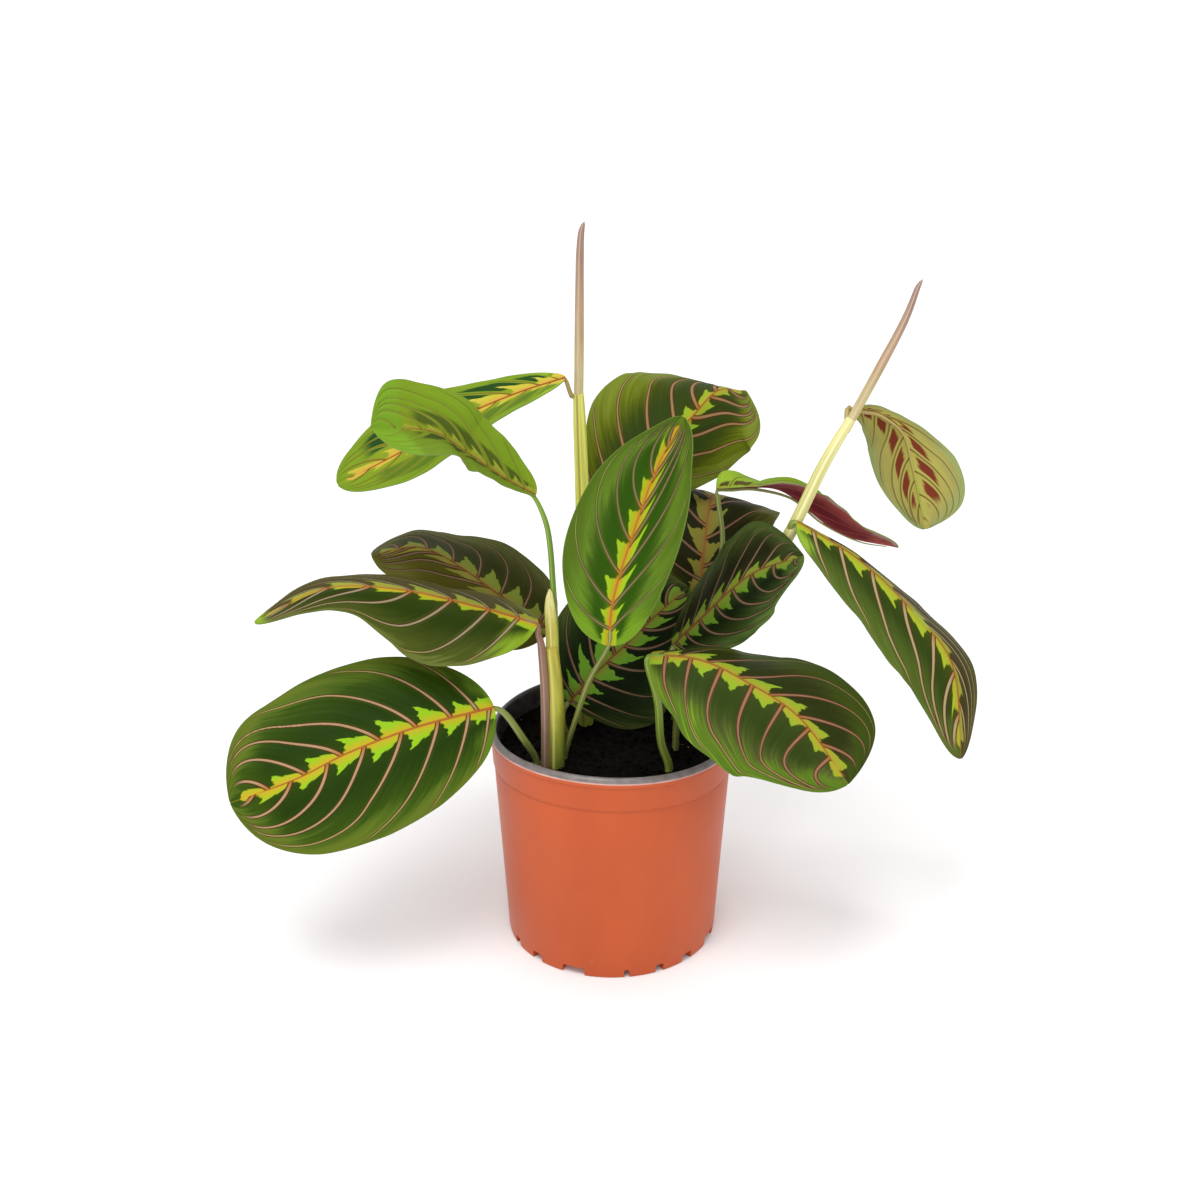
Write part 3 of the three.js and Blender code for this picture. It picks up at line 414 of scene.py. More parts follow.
    # side veins: a pink ridge between two dark lines, thinner and paler towards the edge
    full_width = look["vein_width"]
    thinner = add(tree, "MapRange", {0: share, 1: 0.15, 2: 0.95, 3: full_width, 4: 0.45 * full_width})
    thinner = add(tree, "Math", {0: painted_half_shade, 1: -0.3, 2: thinner}, operation="MULTIPLY_ADD")
    vein_place = add(tree, "Math", {0: off_vein_mm, 1: thinner}, operation="DIVIDE")
    shown = add(tree, "MapRange", {0: off_edge, 1: 0.8, 2: 3.0}, **SOFTLY)
    before_tip = add(tree, "MapRange", {0: along, 1: 0.975, 2: 0.93})
    past_foot = add(tree, "MapRange", {0: number, 1: 0.25, 2: 0.6})
    shown = add(tree, "Math", {0: shown, 1: before_tip}, operation="MULTIPLY")
    shown = add(tree, "Math", {0: shown, 1: past_foot}, operation="MULTIPLY")
    line = add(tree, "MapRange", {0: vein_place, 1: 1.6, 2: 1.05}, **SOFTLY)
    line = add(tree, "Math", {0: line, 1: shown}, operation="MULTIPLY")
    ridge = add(tree, "MapRange", {0: vein_place, 1: 1.0, 2: 0.5}, **SOFTLY)
    ridge = add(tree, "Math", {0: ridge, 1: shown}, operation="MULTIPLY")
    vein_colour = add(tree, "ValToRGB", {0: share}, ramp=[
        (0.0, look["midrib"]), (0.14, look["vein"]), (0.65, look["vein"]), (0.92, look["vein_end"])])
    colour = add(tree, "Mix", {0: line, 6: colour, 7: linear(look["vein_edge"])}, **COLOURS)
    colour = add(tree, "Mix", {0: ridge, 6: colour, 7: vein_colour}, **COLOURS)

    # midrib
    rib_width = add(tree, "MapRange", {0: along, 1: 0.0, 2: 0.9, 3: 0.9, 4: 0.35})
    rib_place = add(tree, "Math", {0: off_rib, 1: rib_width}, operation="DIVIDE")
    rib = add(tree, "MapRange", {0: rib_place, 1: 1.0, 2: 0.45}, **SOFTLY)
    stop = look["rib_stop"]
    rib_end = add(tree, "MapRange", {0: along, 1: stop, 2: stop - 0.08})
    rib = add(tree, "Math", {0: rib, 1: rib_end}, operation="MULTIPLY")
    colour = add(tree, "Mix", {0: rib, 6: colour, 7: linear(look["midrib"])}, **COLOURS)

    # the thin dry line of the edge
    edge = add(tree, "MapRange", {0: off_edge, 1: 0.15, 2: 0.5, 3: 0.5, 4: 0.0})
    colour = add(tree, "Mix", {0: edge, 6: colour, 7: linear(look["edge"])}, **COLOURS)
    tree.links.new(colour, shader.inputs["Base Color"])

    # satin wax, broken by the streaks
    base = look["rough"]
    rough = add(tree, "MapRange", {0: streaks, 1: 0.3, 2: 0.7, 3: base + 0.07, 4: base - 0.07})
    tree.links.new(rough, shader.inputs["Roughness"])
    shader.inputs["Specular IOR Level"].default_value = 0.035

    # twelve fine parallel veinlets between two side veins, leathery grain, raised side veins and midrib
    veinlets = add(tree, "Math", {0: number, 1: 2 * math.pi * 12}, operation="MULTIPLY")
    veinlets = add(tree, "Math", {0: veinlets}, operation="SINE")
    coords = add(tree, "TexCoord", output="Object")
    grain = add(tree, "TexNoise", {"Vector": coords, "Scale": 900.0, "Detail": 2.0})
    height = add(tree, "Math", {0: veinlets, 1: 0.05, 2: ridge}, operation="MULTIPLY_ADD")
    height = add(tree, "Math", {0: rib, 1: height}, operation="ADD")
    height = add(tree, "Math", {0: grain, 1: 0.2, 2: height}, operation="MULTIPLY_ADD")
    bump = add(tree, "Bump", {"Height": height, "Distance": 0.3 * MM, "Strength": 0.8})
    tree.links.new(bump, shader.inputs["Normal"])
    return material


# Leaf stalks and stems: colours from the soil end to the top, and of the line along them, which is a
# painted highlight on all of them but stem_middle, where it is a dark brown line.
STALKS = {
    "olive": ("#77803C", "#6E7A34", "#8A8A4A", "#B0AC6C"),
    "green": ("#7D8C38", "#6F9430", "#7FA636", "#A8B85C"),
    "tan": ("#A08A50", "#A5884E", "#8FA03A", "#B8AC70"),
    "brown_sheath": ("#7E6650", "#8C6456", "#946A5C", "#B08A7C"),
    "stem_left": ("#5E6E26", "#A3A236", "#AFA63E", "#D2C870"),
    "stem_middle": ("#8E9A3C", "#C2C642", "#C8C860", "#7E5A34"),
    "stem_right": ("#8C9440", "#B4B464", "#D4CE8C", "#E8E2B0"),
    "tongue": ("#AFA63E", "#B8B04C", "#D8D08C", "#E4DEAC"),
    "rolled": ("#BEB47C", "#A88B6B", "#8F7267", "#C3AF9B"),
}


def stalk_skin(name, look):
    """A stalk's skin: smooth green tissue with long fibres, so satin and finely ribbed along its length.

    It reads the piece's own UV map: round the stalk, and along it.
    """
    low, middle, high, line = STALKS[look]
    material, tree, shader = new_material(name)
    uv = add(tree, "UVMap", uv_map="UVMap")
    parts = add(tree, "SeparateXYZ", {0: uv}).node.outputs
    fibre_place = add(tree, "VectorMath", {0: uv, 1: (14.0, 3.0, 1.0)}, operation="MULTIPLY")
    fibres = add(tree, "TexNoise", {"Vector": fibre_place, "Scale": 1.0, "Detail": 3.0})
    blot_place = add(tree, "VectorMath", {0: uv, 1: (2.0, 7.0, 1.0)}, operation="MULTIPLY")
    blots = add(tree, "TexNoise", {"Vector": blot_place, "Scale": 1.0, "Detail": 3.0})
    along = add(tree, "Math", {0: blots, 1: 0.3, 2: parts[1]}, operation="MULTIPLY_ADD")
    along = add(tree, "Math", {0: along, 1: -0.15}, operation="ADD")
    colour = add(tree, "ValToRGB", {0: along}, ramp=[(0.05, low), (0.5, middle), (0.95, high)])
    brighter = add(tree, "MapRange", {0: fibres, 1: 0.3, 2: 0.7, 3: 0.75, 4: 1.2})
    colour = add(tree, "HueSaturation", {"Value": brighter, "Color": colour})
    # a line just beside the front, as a painted highlight, dark brown on stem_middle instead
    painted_highlight_line = add(tree, "Math", {0: parts[0], 1: -0.2}, operation="ADD")
    painted_highlight_line = add(tree, "Math", {0: painted_highlight_line}, operation="ABSOLUTE")
    painted_highlight_line = add(tree, "MapRange", {0: painted_highlight_line, 1: 0.01, 2: 0.035, 3: 0.7, 4: 0.0})
    colour = add(tree, "Mix", {0: painted_highlight_line, 6: colour, 7: linear(line)}, **COLOURS)
    tree.links.new(colour, shader.inputs["Base Color"])
    shader.inputs["Roughness"].default_value = 0.42
    shader.inputs["Specular IOR Level"].default_value = 0.35
    bump = add(tree, "Bump", {"Height": fibres, "Distance": 0.25 * MM, "Strength": 0.7})
    tree.links.new(bump, shader.inputs["Normal"])
    return material


def pot_plastic():
    """Terracotta-coloured polypropylene, thermoformed: satin, and faintly pulled down the wall."""
    material, tree, shader = new_material("terracotta_thermoformed_polypropylene")
    coords = add(tree, "TexCoord", output="Object")
    # the moulded wall is slightly uneven over about 30 mm, and grained at 0.7 mm
    pulled = add(tree, "Mapping", {"Vector": coords, "Scale": (30.0, 30.0, 12.0)})
    clouds = add(tree, "TexNoise", {"Vector": pulled, "Scale": 1.0, "Detail": 3.0})
    colour = add(tree, "ValToRGB", {0: clouds}, ramp=[(0.3, "#AE4A20"), (0.7, "#BA5225")])
    # dusty scuffs
    scuffs = add(tree, "TexNoise", {"Vector": coords, "Scale": 160.0, "Detail": 4.0, "Roughness": 0.7})
    scuff = add(tree, "MapRange", {0: scuffs, 1: 0.68, 2: 0.78, 3: 0.0, 4: 0.25})
    colour = add(tree, "Mix", {0: scuff, 6: colour, 7: linear("#C07A5A")}, **COLOURS)
    tree.links.new(colour, shader.inputs["Base Color"])
    rough = add(tree, "MapRange", {0: clouds, 1: 0.3, 2: 0.7, 3: 0.34, 4: 0.44})
    tree.links.new(rough, shader.inputs["Roughness"])
    shader.inputs["Specular IOR Level"].default_value = 0.3
    grain = add(tree, "TexNoise", {"Vector": coords, "Scale": 1400.0, "Detail": 2.0})
    height = add(tree, "Math", {0: grain, 1: 0.15, 2: clouds}, operation="MULTIPLY_ADD")
    bump = add(tree, "Bump", {"Height": height, "Distance": 0.6 * MM, "Strength": 0.35})
    tree.links.new(bump, shader.inputs["Normal"])
    return material


def black_plastic(name, dark, light):
    """The sheet's black inner layer: recycled polypropylene, smooth, and greyed by dust and scuffs; on the
    lip its greys are a painted reflection of the white studio.
    """
    material, tree, shader = new_material(name)
    coords = add(tree, "TexCoord", output="Object")
    marks = add(tree, "TexNoise", {"Vector": coords, "Scale": 220.0, "Detail": 4.0})
    colour = add(tree, "ValToRGB", {0: marks}, ramp=[(0.35, dark), (0.75, light)])
    tree.links.new(colour, shader.inputs["Base Color"])
    rough = add(tree, "MapRange", {0: marks, 1: 0.3, 2: 0.7, 3: 0.28, 4: 0.42})
    tree.links.new(rough, shader.inputs["Roughness"])
    bump = add(tree, "Bump", {"Height": marks, "Distance": 0.3 * MM, "Strength": 0.3})
    tree.links.new(bump, shader.inputs["Normal"])
    return material


def cut_edge_highlight():
    """The trimmed edge of the pot's sheet: pale, partly burnished by the cutter and partly a painted
    highlight along its rounded edge.
    """
    material, tree, shader = new_material("trimmed_polypropylene_edge_painted_highlight")
    coords = add(tree, "TexCoord", output="Object")
    marks = add(tree, "TexNoise", {"Vector": coords, "Scale": 90.0, "Detail": 3.0})
    colour = add(tree, "ValToRGB", {0: marks}, ramp=[(0.3, "#AE7E74"), (0.7, "#C8A096")])
    tree.links.new(colour, shader.inputs["Base Color"])
    shader.inputs["Roughness"].default_value = 0.35
    return material


def peat():
    """Damp peat: near black, matt, with a few glints from wet fibres."""
    material, tree, shader = new_material("damp_peat")
    coords = add(tree, "TexCoord", output="Object")
    crumbs = add(tree, "TexNoise", {"Vector": coords, "Scale": 500.0, "Detail": 5.0, "Roughness": 0.7})
    colour = add(tree, "ValToRGB", {0: crumbs}, ramp=[(0.4, "#080605"), (0.6, "#120D0A"), (0.8, "#2A1E16")])
    tree.links.new(colour, shader.inputs["Base Color"])
    shader.inputs["Roughness"].default_value = 0.85
    shader.inputs["Specular IOR Level"].default_value = 0.04
    bump = add(tree, "Bump", {"Height": crumbs, "Distance": 1.5 * MM, "Strength": 1.0})
    tree.links.new(bump, shader.inputs["Normal"])
    return material


def bark_crumbs():
    """Dry bits on the soil: torn bark and root fibre, pale brown and matt."""
    material, tree, shader = new_material("dry_bark_crumbs")
    coords = add(tree, "TexCoord", output="Object")
    bits = add(tree, "TexNoise", {"Vector": coords, "Scale": 300.0, "Detail": 2.0})
    colour = add(tree, "ValToRGB", {0: bits}, ramp=[(0.3, "#5A3E2A"), (0.55, "#8C6A4C"), (0.75, "#D6C4B0")])
    tree.links.new(colour, shader.inputs["Base Color"])
    shader.inputs["Roughness"].default_value = 0.8
    return material


# ------------------------------------------------------------------ curves and blades


def read_points(mesh):
    values = np.zeros(len(mesh.vertices) * 3, np.float32)
    mesh.vertices.foreach_get("co", values)
    return values.reshape(-1, 3).astype(float)


def write_points(mesh, points):
    mesh.vertices.foreach_set("co", np.asarray(points, np.float32).ravel())
    mesh.update()


def between(a, b, c, d, x):
    """A smooth curve from b to c at x from 0 to 1, with a before them and d after them."""
    start, end = (c - a) / 2, (d - b) / 2
    cubed = 2 * b - 2 * c + start + end
    squared = -3 * b + 3 * c - 2 * start - end
    return (cubed * x + squared) * x * x + start * x + b


def smooth_curve(points, count=600):
    """Dense points on a smooth curve through the given ones."""
    p = np.asarray(points, float)
    p = np.vstack([2 * p[0] - p[1], p, 2 * p[-1] - p[-2]])
    u = np.linspace(0, len(p) - 3, count)
    i = np.minimum(u.astype(int), len(p) - 4)
    return between(p[i], p[i + 1], p[i + 2], p[i + 3], (u - i)[:, None])


def lengths(dense):
    """How far along the curve each of its points lies."""
    return np.concatenate([[0], np.cumsum(np.linalg.norm(np.diff(dense, axis=0), axis=1))])


def along_curve(points, t):
    """Places and directions at shares t of the curve's length, and that length."""
    dense = smooth_curve(points)
    length = lengths(dense)
    share = length / length[-1]

    def place(at):
        return np.stack([np.interp(at, share, dense[:, k]) for k in range(3)], -1)

    ahead = place(np.clip(t + 0.006, 0, 1)) - place(np.clip(t - 0.006, 0, 1))
    return place(t), ahead / np.linalg.norm(ahead, axis=-1, keepdims=True), length[-1]


def spread(values, t):
    """Evenly spaced values read at t."""
    values = np.asarray(values, float)
    return np.interp(t, np.linspace(0, 1, len(values)), values)


def spread_at(path, values, t):
    """Values given at the path's points, read at shares t of its length."""
    steps = 60
    length = lengths(smooth_curve(path, steps * (len(path) - 1) + 1))
    return np.interp(t, length[::steps] / length[-1], values)


def directions(facing, t):
    """Unit vectors at t for compass angles and heights given at even stations."""
    compass, height = np.radians(np.asarray(facing, float)).T
    level = np.cos(height)
    parts = (np.sin(compass) * level, -np.cos(compass) * level, np.sin(height))
    return np.stack([spread(p, t) for p in parts], -1)


def half_width(stations, t):
    """The half-width at t, from four stations that lie closer together near the base and the tip."""
    w = np.array([-stations[0], 0, *stations, 0, -stations[3]], float)
    u = np.arccos(np.clip(1 - 2 * t, -1, 1)) / math.pi * 5
    i = np.minimum(u.astype(int), 4)
    return np.maximum(between(w[i], w[i + 1], w[i + 2], w[i + 3], u - i), BLADE_END)


def width_at(leaf, is_right, t):
    """The half-width of the left or the right half."""
    return np.where(is_right, half_width(leaf["right"], t), half_width(leaf["left"], t))


def blade_frame(leaf, t):
    """The midrib's places, the way the upper side looks, the way to the right, and the midrib's length."""
    centre, ahead, length = along_curve(leaf["midrib"], t)
    up = directions(leaf["facing"], t)
    up -= (up * ahead).sum(-1, keepdims=True) * ahead
    up /= np.linalg.norm(up, axis=-1, keepdims=True)
    return centre, up, np.cross(ahead, up), length


def smooth(x, low, high):
    """0 up to low, 1 from high on, and a soft rise between them."""
    s = np.clip((x - low) / (high - low), 0, 1)
    return s * s * (3 - 2 * s)


def vein_number(leaf, share, is_right, t):
    """The number of the side vein at a place, whole on the veins, which sweep to the tip as they go out."""
    sweep = 0.35 * share ** 8  # near the edge the veins run along it
    for half, (straight, arch, power) in zip((~is_right, is_right), leaf.get("sweep", GENTLE_SWEEP)):
        sweep = sweep + half * (straight * share + arch * share ** power)
    # the first veins sweep less: 0.1 of it at the foot, and all of it from 0.43 of the length
    start = (t - 0.1 * sweep) / (1 + 2.1 * sweep)
    start = np.where(start > 0.43, t - sweep, start)
    return 7 * start + 0.9 * (1 - np.exp(-np.maximum(start, 0) / 0.08))


def vein_spacing(leaf, share, is_right, t, length):
    """Millimetres between two side veins at a place, from how fast their number grows there."""
    step = 1e-3
    low, high = np.clip(t - step, 0, 1), np.clip(t + step, 0, 1)
    outward = vein_number(leaf, share + step, is_right, t) - vein_number(leaf, share, is_right, t)
    outward = outward / step / width_at(leaf, is_right, t)
    onward = vein_number(leaf, share, is_right, high) - vein_number(leaf, share, is_right, low)
    widening = share * (width_at(leaf, is_right, high) - width_at(leaf, is_right, low))
    onward = (onward - widening * outward) / (high - low) / length
    return np.clip(1 / np.hypot(outward, onward), 1, 30)


def blade_place(leaf, across, t):
    """Points of the blade, in millimetres, and the two attributes that its finish reads."""
    centre, up, right, length = blade_frame(leaf, t)
    share = np.abs(across)
    is_right = across > 0
    width = width_at(leaf, is_right, t)

    def bend(kind):
        right_half, left_half = leaf.get(kind + "R", [0]), leaf.get(kind + "L", [0])
        return np.radians(np.where(is_right, spread(right_half, t), spread(left_half, t)))

    fold, curl = bend("fold"), bend("curl")
    curl = np.where(np.abs(curl) < 1e-4, 1e-4, curl)
    out = (np.sin(fold + curl * share) - np.sin(fold)) / curl
    lift = (np.cos(fold) - np.cos(fold + curl * share)) / curl
    height, start = leaf["wave"]
    turn = WAVES * t + start + 0.35 * is_right
    wave = height * np.sin(2 * math.pi * turn) * share ** 2 * np.sin(math.pi * t)
    wave += 0.2 * np.sin(2 * math.pi * (2.7 * turn + 0.2)) * share ** 5 * np.sin(math.pi * t)
    # the tissue swells between the veins, and the midrib lies in a groove
    number = vein_number(leaf, share, is_right, t)
    offset = np.where(is_right, leaf["veins"][1], leaf["veins"][0])
    cell = (number + offset) % 1.0
    size = max(*leaf["left"], *leaf["right"]) / 40
    swell = 0.75 * size * (np.sin(math.pi * cell) ** 0.7 - 0.5)
    swell *= smooth(share, 0.02, 0.2) * (1 - smooth(share, 0.7, 0.98))
    groove = -0.5 * np.exp(-(share * width / 2.2) ** 2)
    points = centre + right * (np.sign(across) * width * out)[:, None]
    points += up * (width * lift + wave + swell + groove * (1 - t))[:, None]
    place = np.stack([across, t, number], -1)
    spacing = vein_spacing(leaf, share, is_right, t, length)
    reach = np.stack([across * width, spacing, (1 - share) * width], -1)
    return points, place, reach


# ------------------------------------------------------------------ pieces


def select(*pieces):
    """Selects these pieces alone, with the first one active."""
    bpy.ops.object.select_all(action="DESELECT")
    for piece in pieces:
        piece.select_set(True)
    bpy.context.view_layer.objects.active = pieces[0]


def weld():
    """Joins the active piece's points that meet, and turns its faces outwards."""
    bpy.ops.object.mode_set(mode="EDIT")
    bpy.ops.mesh.select_all(action="SELECT")
    bpy.ops.mesh.remove_doubles(threshold=2e-6)
    bpy.ops.mesh.normals_make_consistent(inside=False)
    bpy.ops.object.mode_set(mode="OBJECT")


def save_vectors(mesh, name, values):
    attribute = mesh.attributes.new(name, "FLOAT_VECTOR", "POINT")
    attribute.data.foreach_set("vector", np.asarray(values, np.float32).ravel())


def new_grid(name, columns, rows):
    """A grid with the shares across and along it at each of its points, ready to be laid on a form."""
    bpy.ops.mesh.primitive_grid_add(x_subdivisions=columns, y_subdivisions=rows, size=1)
    piece = bpy.context.object
    piece.name = piece.data.name = name
    place = read_points(piece.data)
    return piece, place[:, 0] + 0.5, place[:, 1] + 0.5


def smooth_shade(piece, angle=60):
    select(piece)
    bpy.ops.object.shade_smooth_by_angle(angle=math.radians(angle))


def blade(name, leaf, seed):
    """A leaf's blade, with an upper and a lower face."""
    piece, x, y = new_grid(name, BLADE_COLUMNS, BLADE_ROWS)
    across, t = 2 * x - 1, (1 - np.cos(math.pi * y)) / 2
    across[np.abs(across) < 1e-6] = 0
    points, place, reach = blade_place(leaf, across, t)
    write_points(piece.data, points * MM)
    save_vectors(piece.data, "place", place)
    save_vectors(piece.data, "reach", reach)
    under = leaf.get("under", "freckled" if leaf["face"] == "young" else "plum")
    face = PLAIN | FINISHES[leaf["face"]] | leaf.get("looks", {})
    piece.data.materials.append(leaf_face(name + "_waxy_face", face, leaf, seed))
    piece.data.materials.append(leaf_face(name + "_underside", PLAIN | FINISHES[under], leaf, seed))
    thickness = piece.modifiers.new("thickness", "SOLIDIFY")
    thickness.thickness = BLADE_THICKNESS * MM
    thickness.offset = 0
    thickness.material_offset = 1
    thickness.material_offset_rim = 0
    bpy.ops.object.modifier_apply(modifier=thickness.name)
    smooth_shade(piece)
    return piece


TUBE_STEP = 2.0  # millimetres between a tube's rings
TO_FRONT = np.array([0.0, -1.0, 0.0])
UP = np.array([0.0, 0.0, 1.0])


def tube(name, path, radii, section, material, sides=16, tip=0.0):
    """A closed stalk along a path. section gives its outline by angle and share of the length, and tip is
    the length over which it closes in a slanting point."""
    piece, x, y = new_grid(name, sides, max(6, int(lengths(smooth_curve(path))[-1] / TUBE_STEP)))
    t = np.clip((y - 0.004) / 0.992, 0, 1)
    centre, ahead, length = along_curve(path, t)
    # the sides stay turned the same way all along: a quarter of the way round is the front
    front = TO_FRONT - ahead * (ahead @ TO_FRONT)[:, None]
    level = np.linalg.norm(front, axis=-1) < 0.35
    front[level] = (UP - ahead * (ahead @ UP)[:, None])[level]
    front /= np.linalg.norm(front, axis=-1, keepdims=True)
    side = np.cross(ahead, front)
    angle = 2 * math.pi * (x - 0.25)
    radius = spread_at(path, radii, t) * section(angle, t)
    lean = np.zeros_like(t)
    if tip:
        into = np.clip((t - (1 - tip / length)) / (tip / length), 0, 1)
        lean = radius * into ** 2 * 0.8
        radius = radius * np.sqrt(np.clip(1 - into ** 2, 0, 1))
    # the first and the last ring are drawn together
    closed = (y < 1e-6) | (y > 1 - 1e-6)
    radius[closed] = 0
    points = centre + front * (np.cos(angle) * radius)[:, None] + side * (np.sin(angle) * radius)[:, None]
    points += side * lean[:, None]
    write_points(piece.data, points * MM)
    weld()
    piece.data.materials.append(material)
    smooth_shade(piece)
    return piece


def rooted(path):
    """A path that starts in the soil, at the place of its first point."""
    x, y = path[0]
    return [(x, y, SOIL_TOP - ROOT_DEPTH), (x, y, SOIL_TOP + ROOT_RISE), *path[1:]]


def join(name, *pieces):
    select(*pieces)
    bpy.ops.object.join()
    pieces[0].name = pieces[0].data.name = name
    return pieces[0]


def keep(piece, slot, *nodes):
    """Hands a finished piece over in place of its CAD nodes."""
    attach(piece, "root")
    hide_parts(*nodes)


def petiole_section(angle, t):
    """A leaf stalk is channelled at the back, with two low wings."""
    wings = 0.1 * np.exp(-((np.abs(angle) - 1.2) / 0.22) ** 2)
    channel = -0.16 * np.exp(-((np.abs(angle) - math.pi) / 0.5) ** 2)
    return 1 + (wings + channel) * (1 - smooth(t, 0.55, 0.8))


skins = {look: stalk_skin(look + "_stalk_skin", look) for look in STALKS}

# Under the blade the stalk goes on as a rib: shares of the length, and of the radius at the blade's base.
RIB_STATIONS = np.array([0.0, 0.08, 0.2, 0.4, 0.6, 0.8, 0.95])
RIB_TAPER = np.array([1.0, 0.95, 0.85, 0.7, 0.55, 0.4, 0.25])
for number, (node, leaf) in enumerate(LEAVES.items()):
    path, radii = leaf["stalk"], leaf["radius"]
    if len(path[0]) == 2:
        path, radii = rooted(path), [radii[0], *radii]
    centre, up, _, _ = blade_frame(leaf, RIB_STATIONS)
    rib_radii = RIB_TAPER * radii[-1] * 0.8
    rib = centre - up * (0.55 + 0.95 * rib_radii)[:, None]
    stalk = tube(node + "_stalk", [*path, *rib], [*radii, *rib_radii], petiole_section,
                 skins[leaf["stalk_look"]])
    piece = join("maranta_" + node, blade(node + "_blade", leaf, number + 1), stalk)
    keep(piece, "young_leaf" if leaf["face"] == "young" else "leaf", node)


def sheathed(angle, t):
    """A stem is wrapped by a leaf's sheath, whose edge stands up as a step round its front."""
    turn = ((angle - 0.6 - 0.5 * t) / (2 * math.pi)) % 1.0
    return 0.96 + 0.09 * turn ** 3


def rolled_up(angle, t):
    """A rolled leaf shows its outer edge as a step that climbs slowly round it."""
    turn = ((angle - 0.2 + 1.4 * t) / (2 * math.pi)) % 1.0
    return 0.95 + 0.16 * turn ** 2


def flattened(angle, t):
    """The short one in the left stem is a flat tongue, about half as thick as it is wide."""
    return 1 / np.hypot(np.cos(angle) / 0.45, np.sin(angle))


# The thick stems, each from its place in the soil up.
STEMS = {
    "stem_left": dict(path=[(-27, -20), (-27, -18, 136), (-29, -16, 164)], radii=[4.2, 4.2, 4.1, 3.3]),
    "stem_middle": dict(
        path=[(-13, 24), (-13.5, 24, 169), (-14.4, 24, 221), (-15.6, 24, 262), (-16, 24, 276)],
        radii=[4, 4, 4, 3.5, 3.1, 2.5]),
    "stem_right": dict(
        path=[(42, 14), (50, 18, 135), (68, 18, 175), (84, 10, 210), (99, 16, 242), (112, 22, 264)],
        radii=[3.4, 3.4, 3.2, 3.1, 3.1, 2.9, 2.4]),
}
for node, stem in STEMS.items():
    piece = tube("sheathed_" + node, rooted(stem["path"]), stem["radii"], sheathed, skins[node], sides=28)
    keep(piece, "stem", node)

# The rolled young leaves in the stems' tops. tip is the length of the slanting point.
ROLLED = {
    "rolled_leaf_left": dict(
        path=[(-28.5, -16.4, 156), (-29, -16, 177), (-31, -15, 192)],
        radii=[3.0, 2.8, 2.2], skin="tongue", section=flattened, tip=12),
    "rolled_leaf_middle": dict(
        path=[(-16, 24, 266), (-15.5, 24, 300), (-15, 24.5, 340), (-14, 25, 356)],
        radii=[2.2, 2.2, 1.8, 1.2], skin="rolled", section=rolled_up, tip=6),
    "rolled_leaf_right": dict(
        path=[(108, 20, 256), (125, 28, 287), (136, 34, 308), (142.5, 38, 326)],
        radii=[2.2, 2.2, 1.8, 1.1], skin="rolled", section=rolled_up, tip=6),
}
for node, young in ROLLED.items():
    piece = tube("rolled_up_" + node, young["path"], young["radii"], young["section"],
                 skins[young["skin"]], sides=24, tip=young["tip"])
    keep(piece, "rolled_leaf", node)

# ------------------------------------------------------------------ pot

POT_SIDES = 224
POT_HEIGHT = 112
FOOT_RADIUS = 52.2
WALL_SLOPE = 0.0625
NOTCHES = [(-21.5, 12.7), (7.8, 3), (26.4, 5), (45, 7)]  # angle from the front and width, in each quarter
NOTCH_HEIGHT = 4.5
NOTCH_RADIUS = 53  # from the pot's axis to the middle of a cutter
NOTCH_DEPTH = 14
RIM_RISE = 4  # the soft rim stands this much higher at its highest place
RISE_ANGLE = -15  # where that is, in degrees from the front towards the right
RISE_SPREAD = 82  # and over how many degrees to each side the rise dies out
RISE_POWER = 1.5
RISE_START = 60  # height from which the wall takes part in it


def wall(z):
    """The outside's radius at a height."""
    return FOOT_RADIUS + WALL_SLOPE * z


def raised_rim(points):
    """The pot's points with the rim raised at the front left. The wall is stretched along its slope."""
    compass = np.degrees(np.arctan2(points[:, 0], -points[:, 1]))
    turn = np.minimum(np.abs(compass - RISE_ANGLE) / RISE_SPREAD, 1)
    rise = RIM_RISE * np.cos(turn * math.pi / 2) ** RISE_POWER
    rise *= smooth(points[:, 2], RISE_START, POT_HEIGHT)
    wider = 1 + WALL_SLOPE * rise / np.maximum(np.hypot(points[:, 0], points[:, 1]), 1)
    return np.stack([points[:, 0] * wider, points[:, 1] * wider, points[:, 2] + rise], -1)


# outside from the foot up to the lip, over it and down the inside
POT_PROFILE = [
    # the foot, with a ring groove under it
    (43, 0), (43.6, 0.8), (48.4, 0.8), (49, 0), (51.5, 0), (52.1, 0.4), (52.3, 1.4),
    # the wall, with a groove and a small step out
    (wall(40), 40), (wall(70), 70), (wall(93.6), 93.6), (wall(94.2) - 0.35, 94.2),
    (wall(94.8) - 0.25, 94.8), (wall(95.5) + 0.5, 95.5), (wall(100) + 0.5, 100), (wall(106.6) + 0.3, 106.6),
    # the lip
    (59.2, 107.2), (59.7, 107.3), (60, 107.6), (60, 108.4), (59.9, 109.1), (59.75, 109.8), (59.2, 110.9),
    (58.4, 111.7), (57.6, POT_HEIGHT), (57, 111.8), (56.6, 111.2), (56.4, 110),
    # the inside, down to the floor
    (56.1, 106), (50.8, 6.4), (50, 6),
]
bpy.ops.mesh.primitive_circle_add(vertices=POT_SIDES, radius=POT_PROFILE[0][0] * MM, location=(0, 0, 0))
pot = bpy.context.object
pot.name = pot.data.name = "growers_pot"
bpy.ops.object.mode_set(mode="EDIT")
bpy.ops.mesh.select_all(action="SELECT")
for (r0, z0), (r1, z1) in zip(POT_PROFILE, POT_PROFILE[1:]):
    bpy.ops.mesh.extrude_region_move(TRANSFORM_OT_translate={"value": (0, 0, (z1 - z0) * MM)})
    bpy.ops.transform.resize(value=(r1 / r0, r1 / r0, 1))
bpy.ops.mesh.edge_face_add()
bpy.ops.mesh.select_all(action="DESELECT")
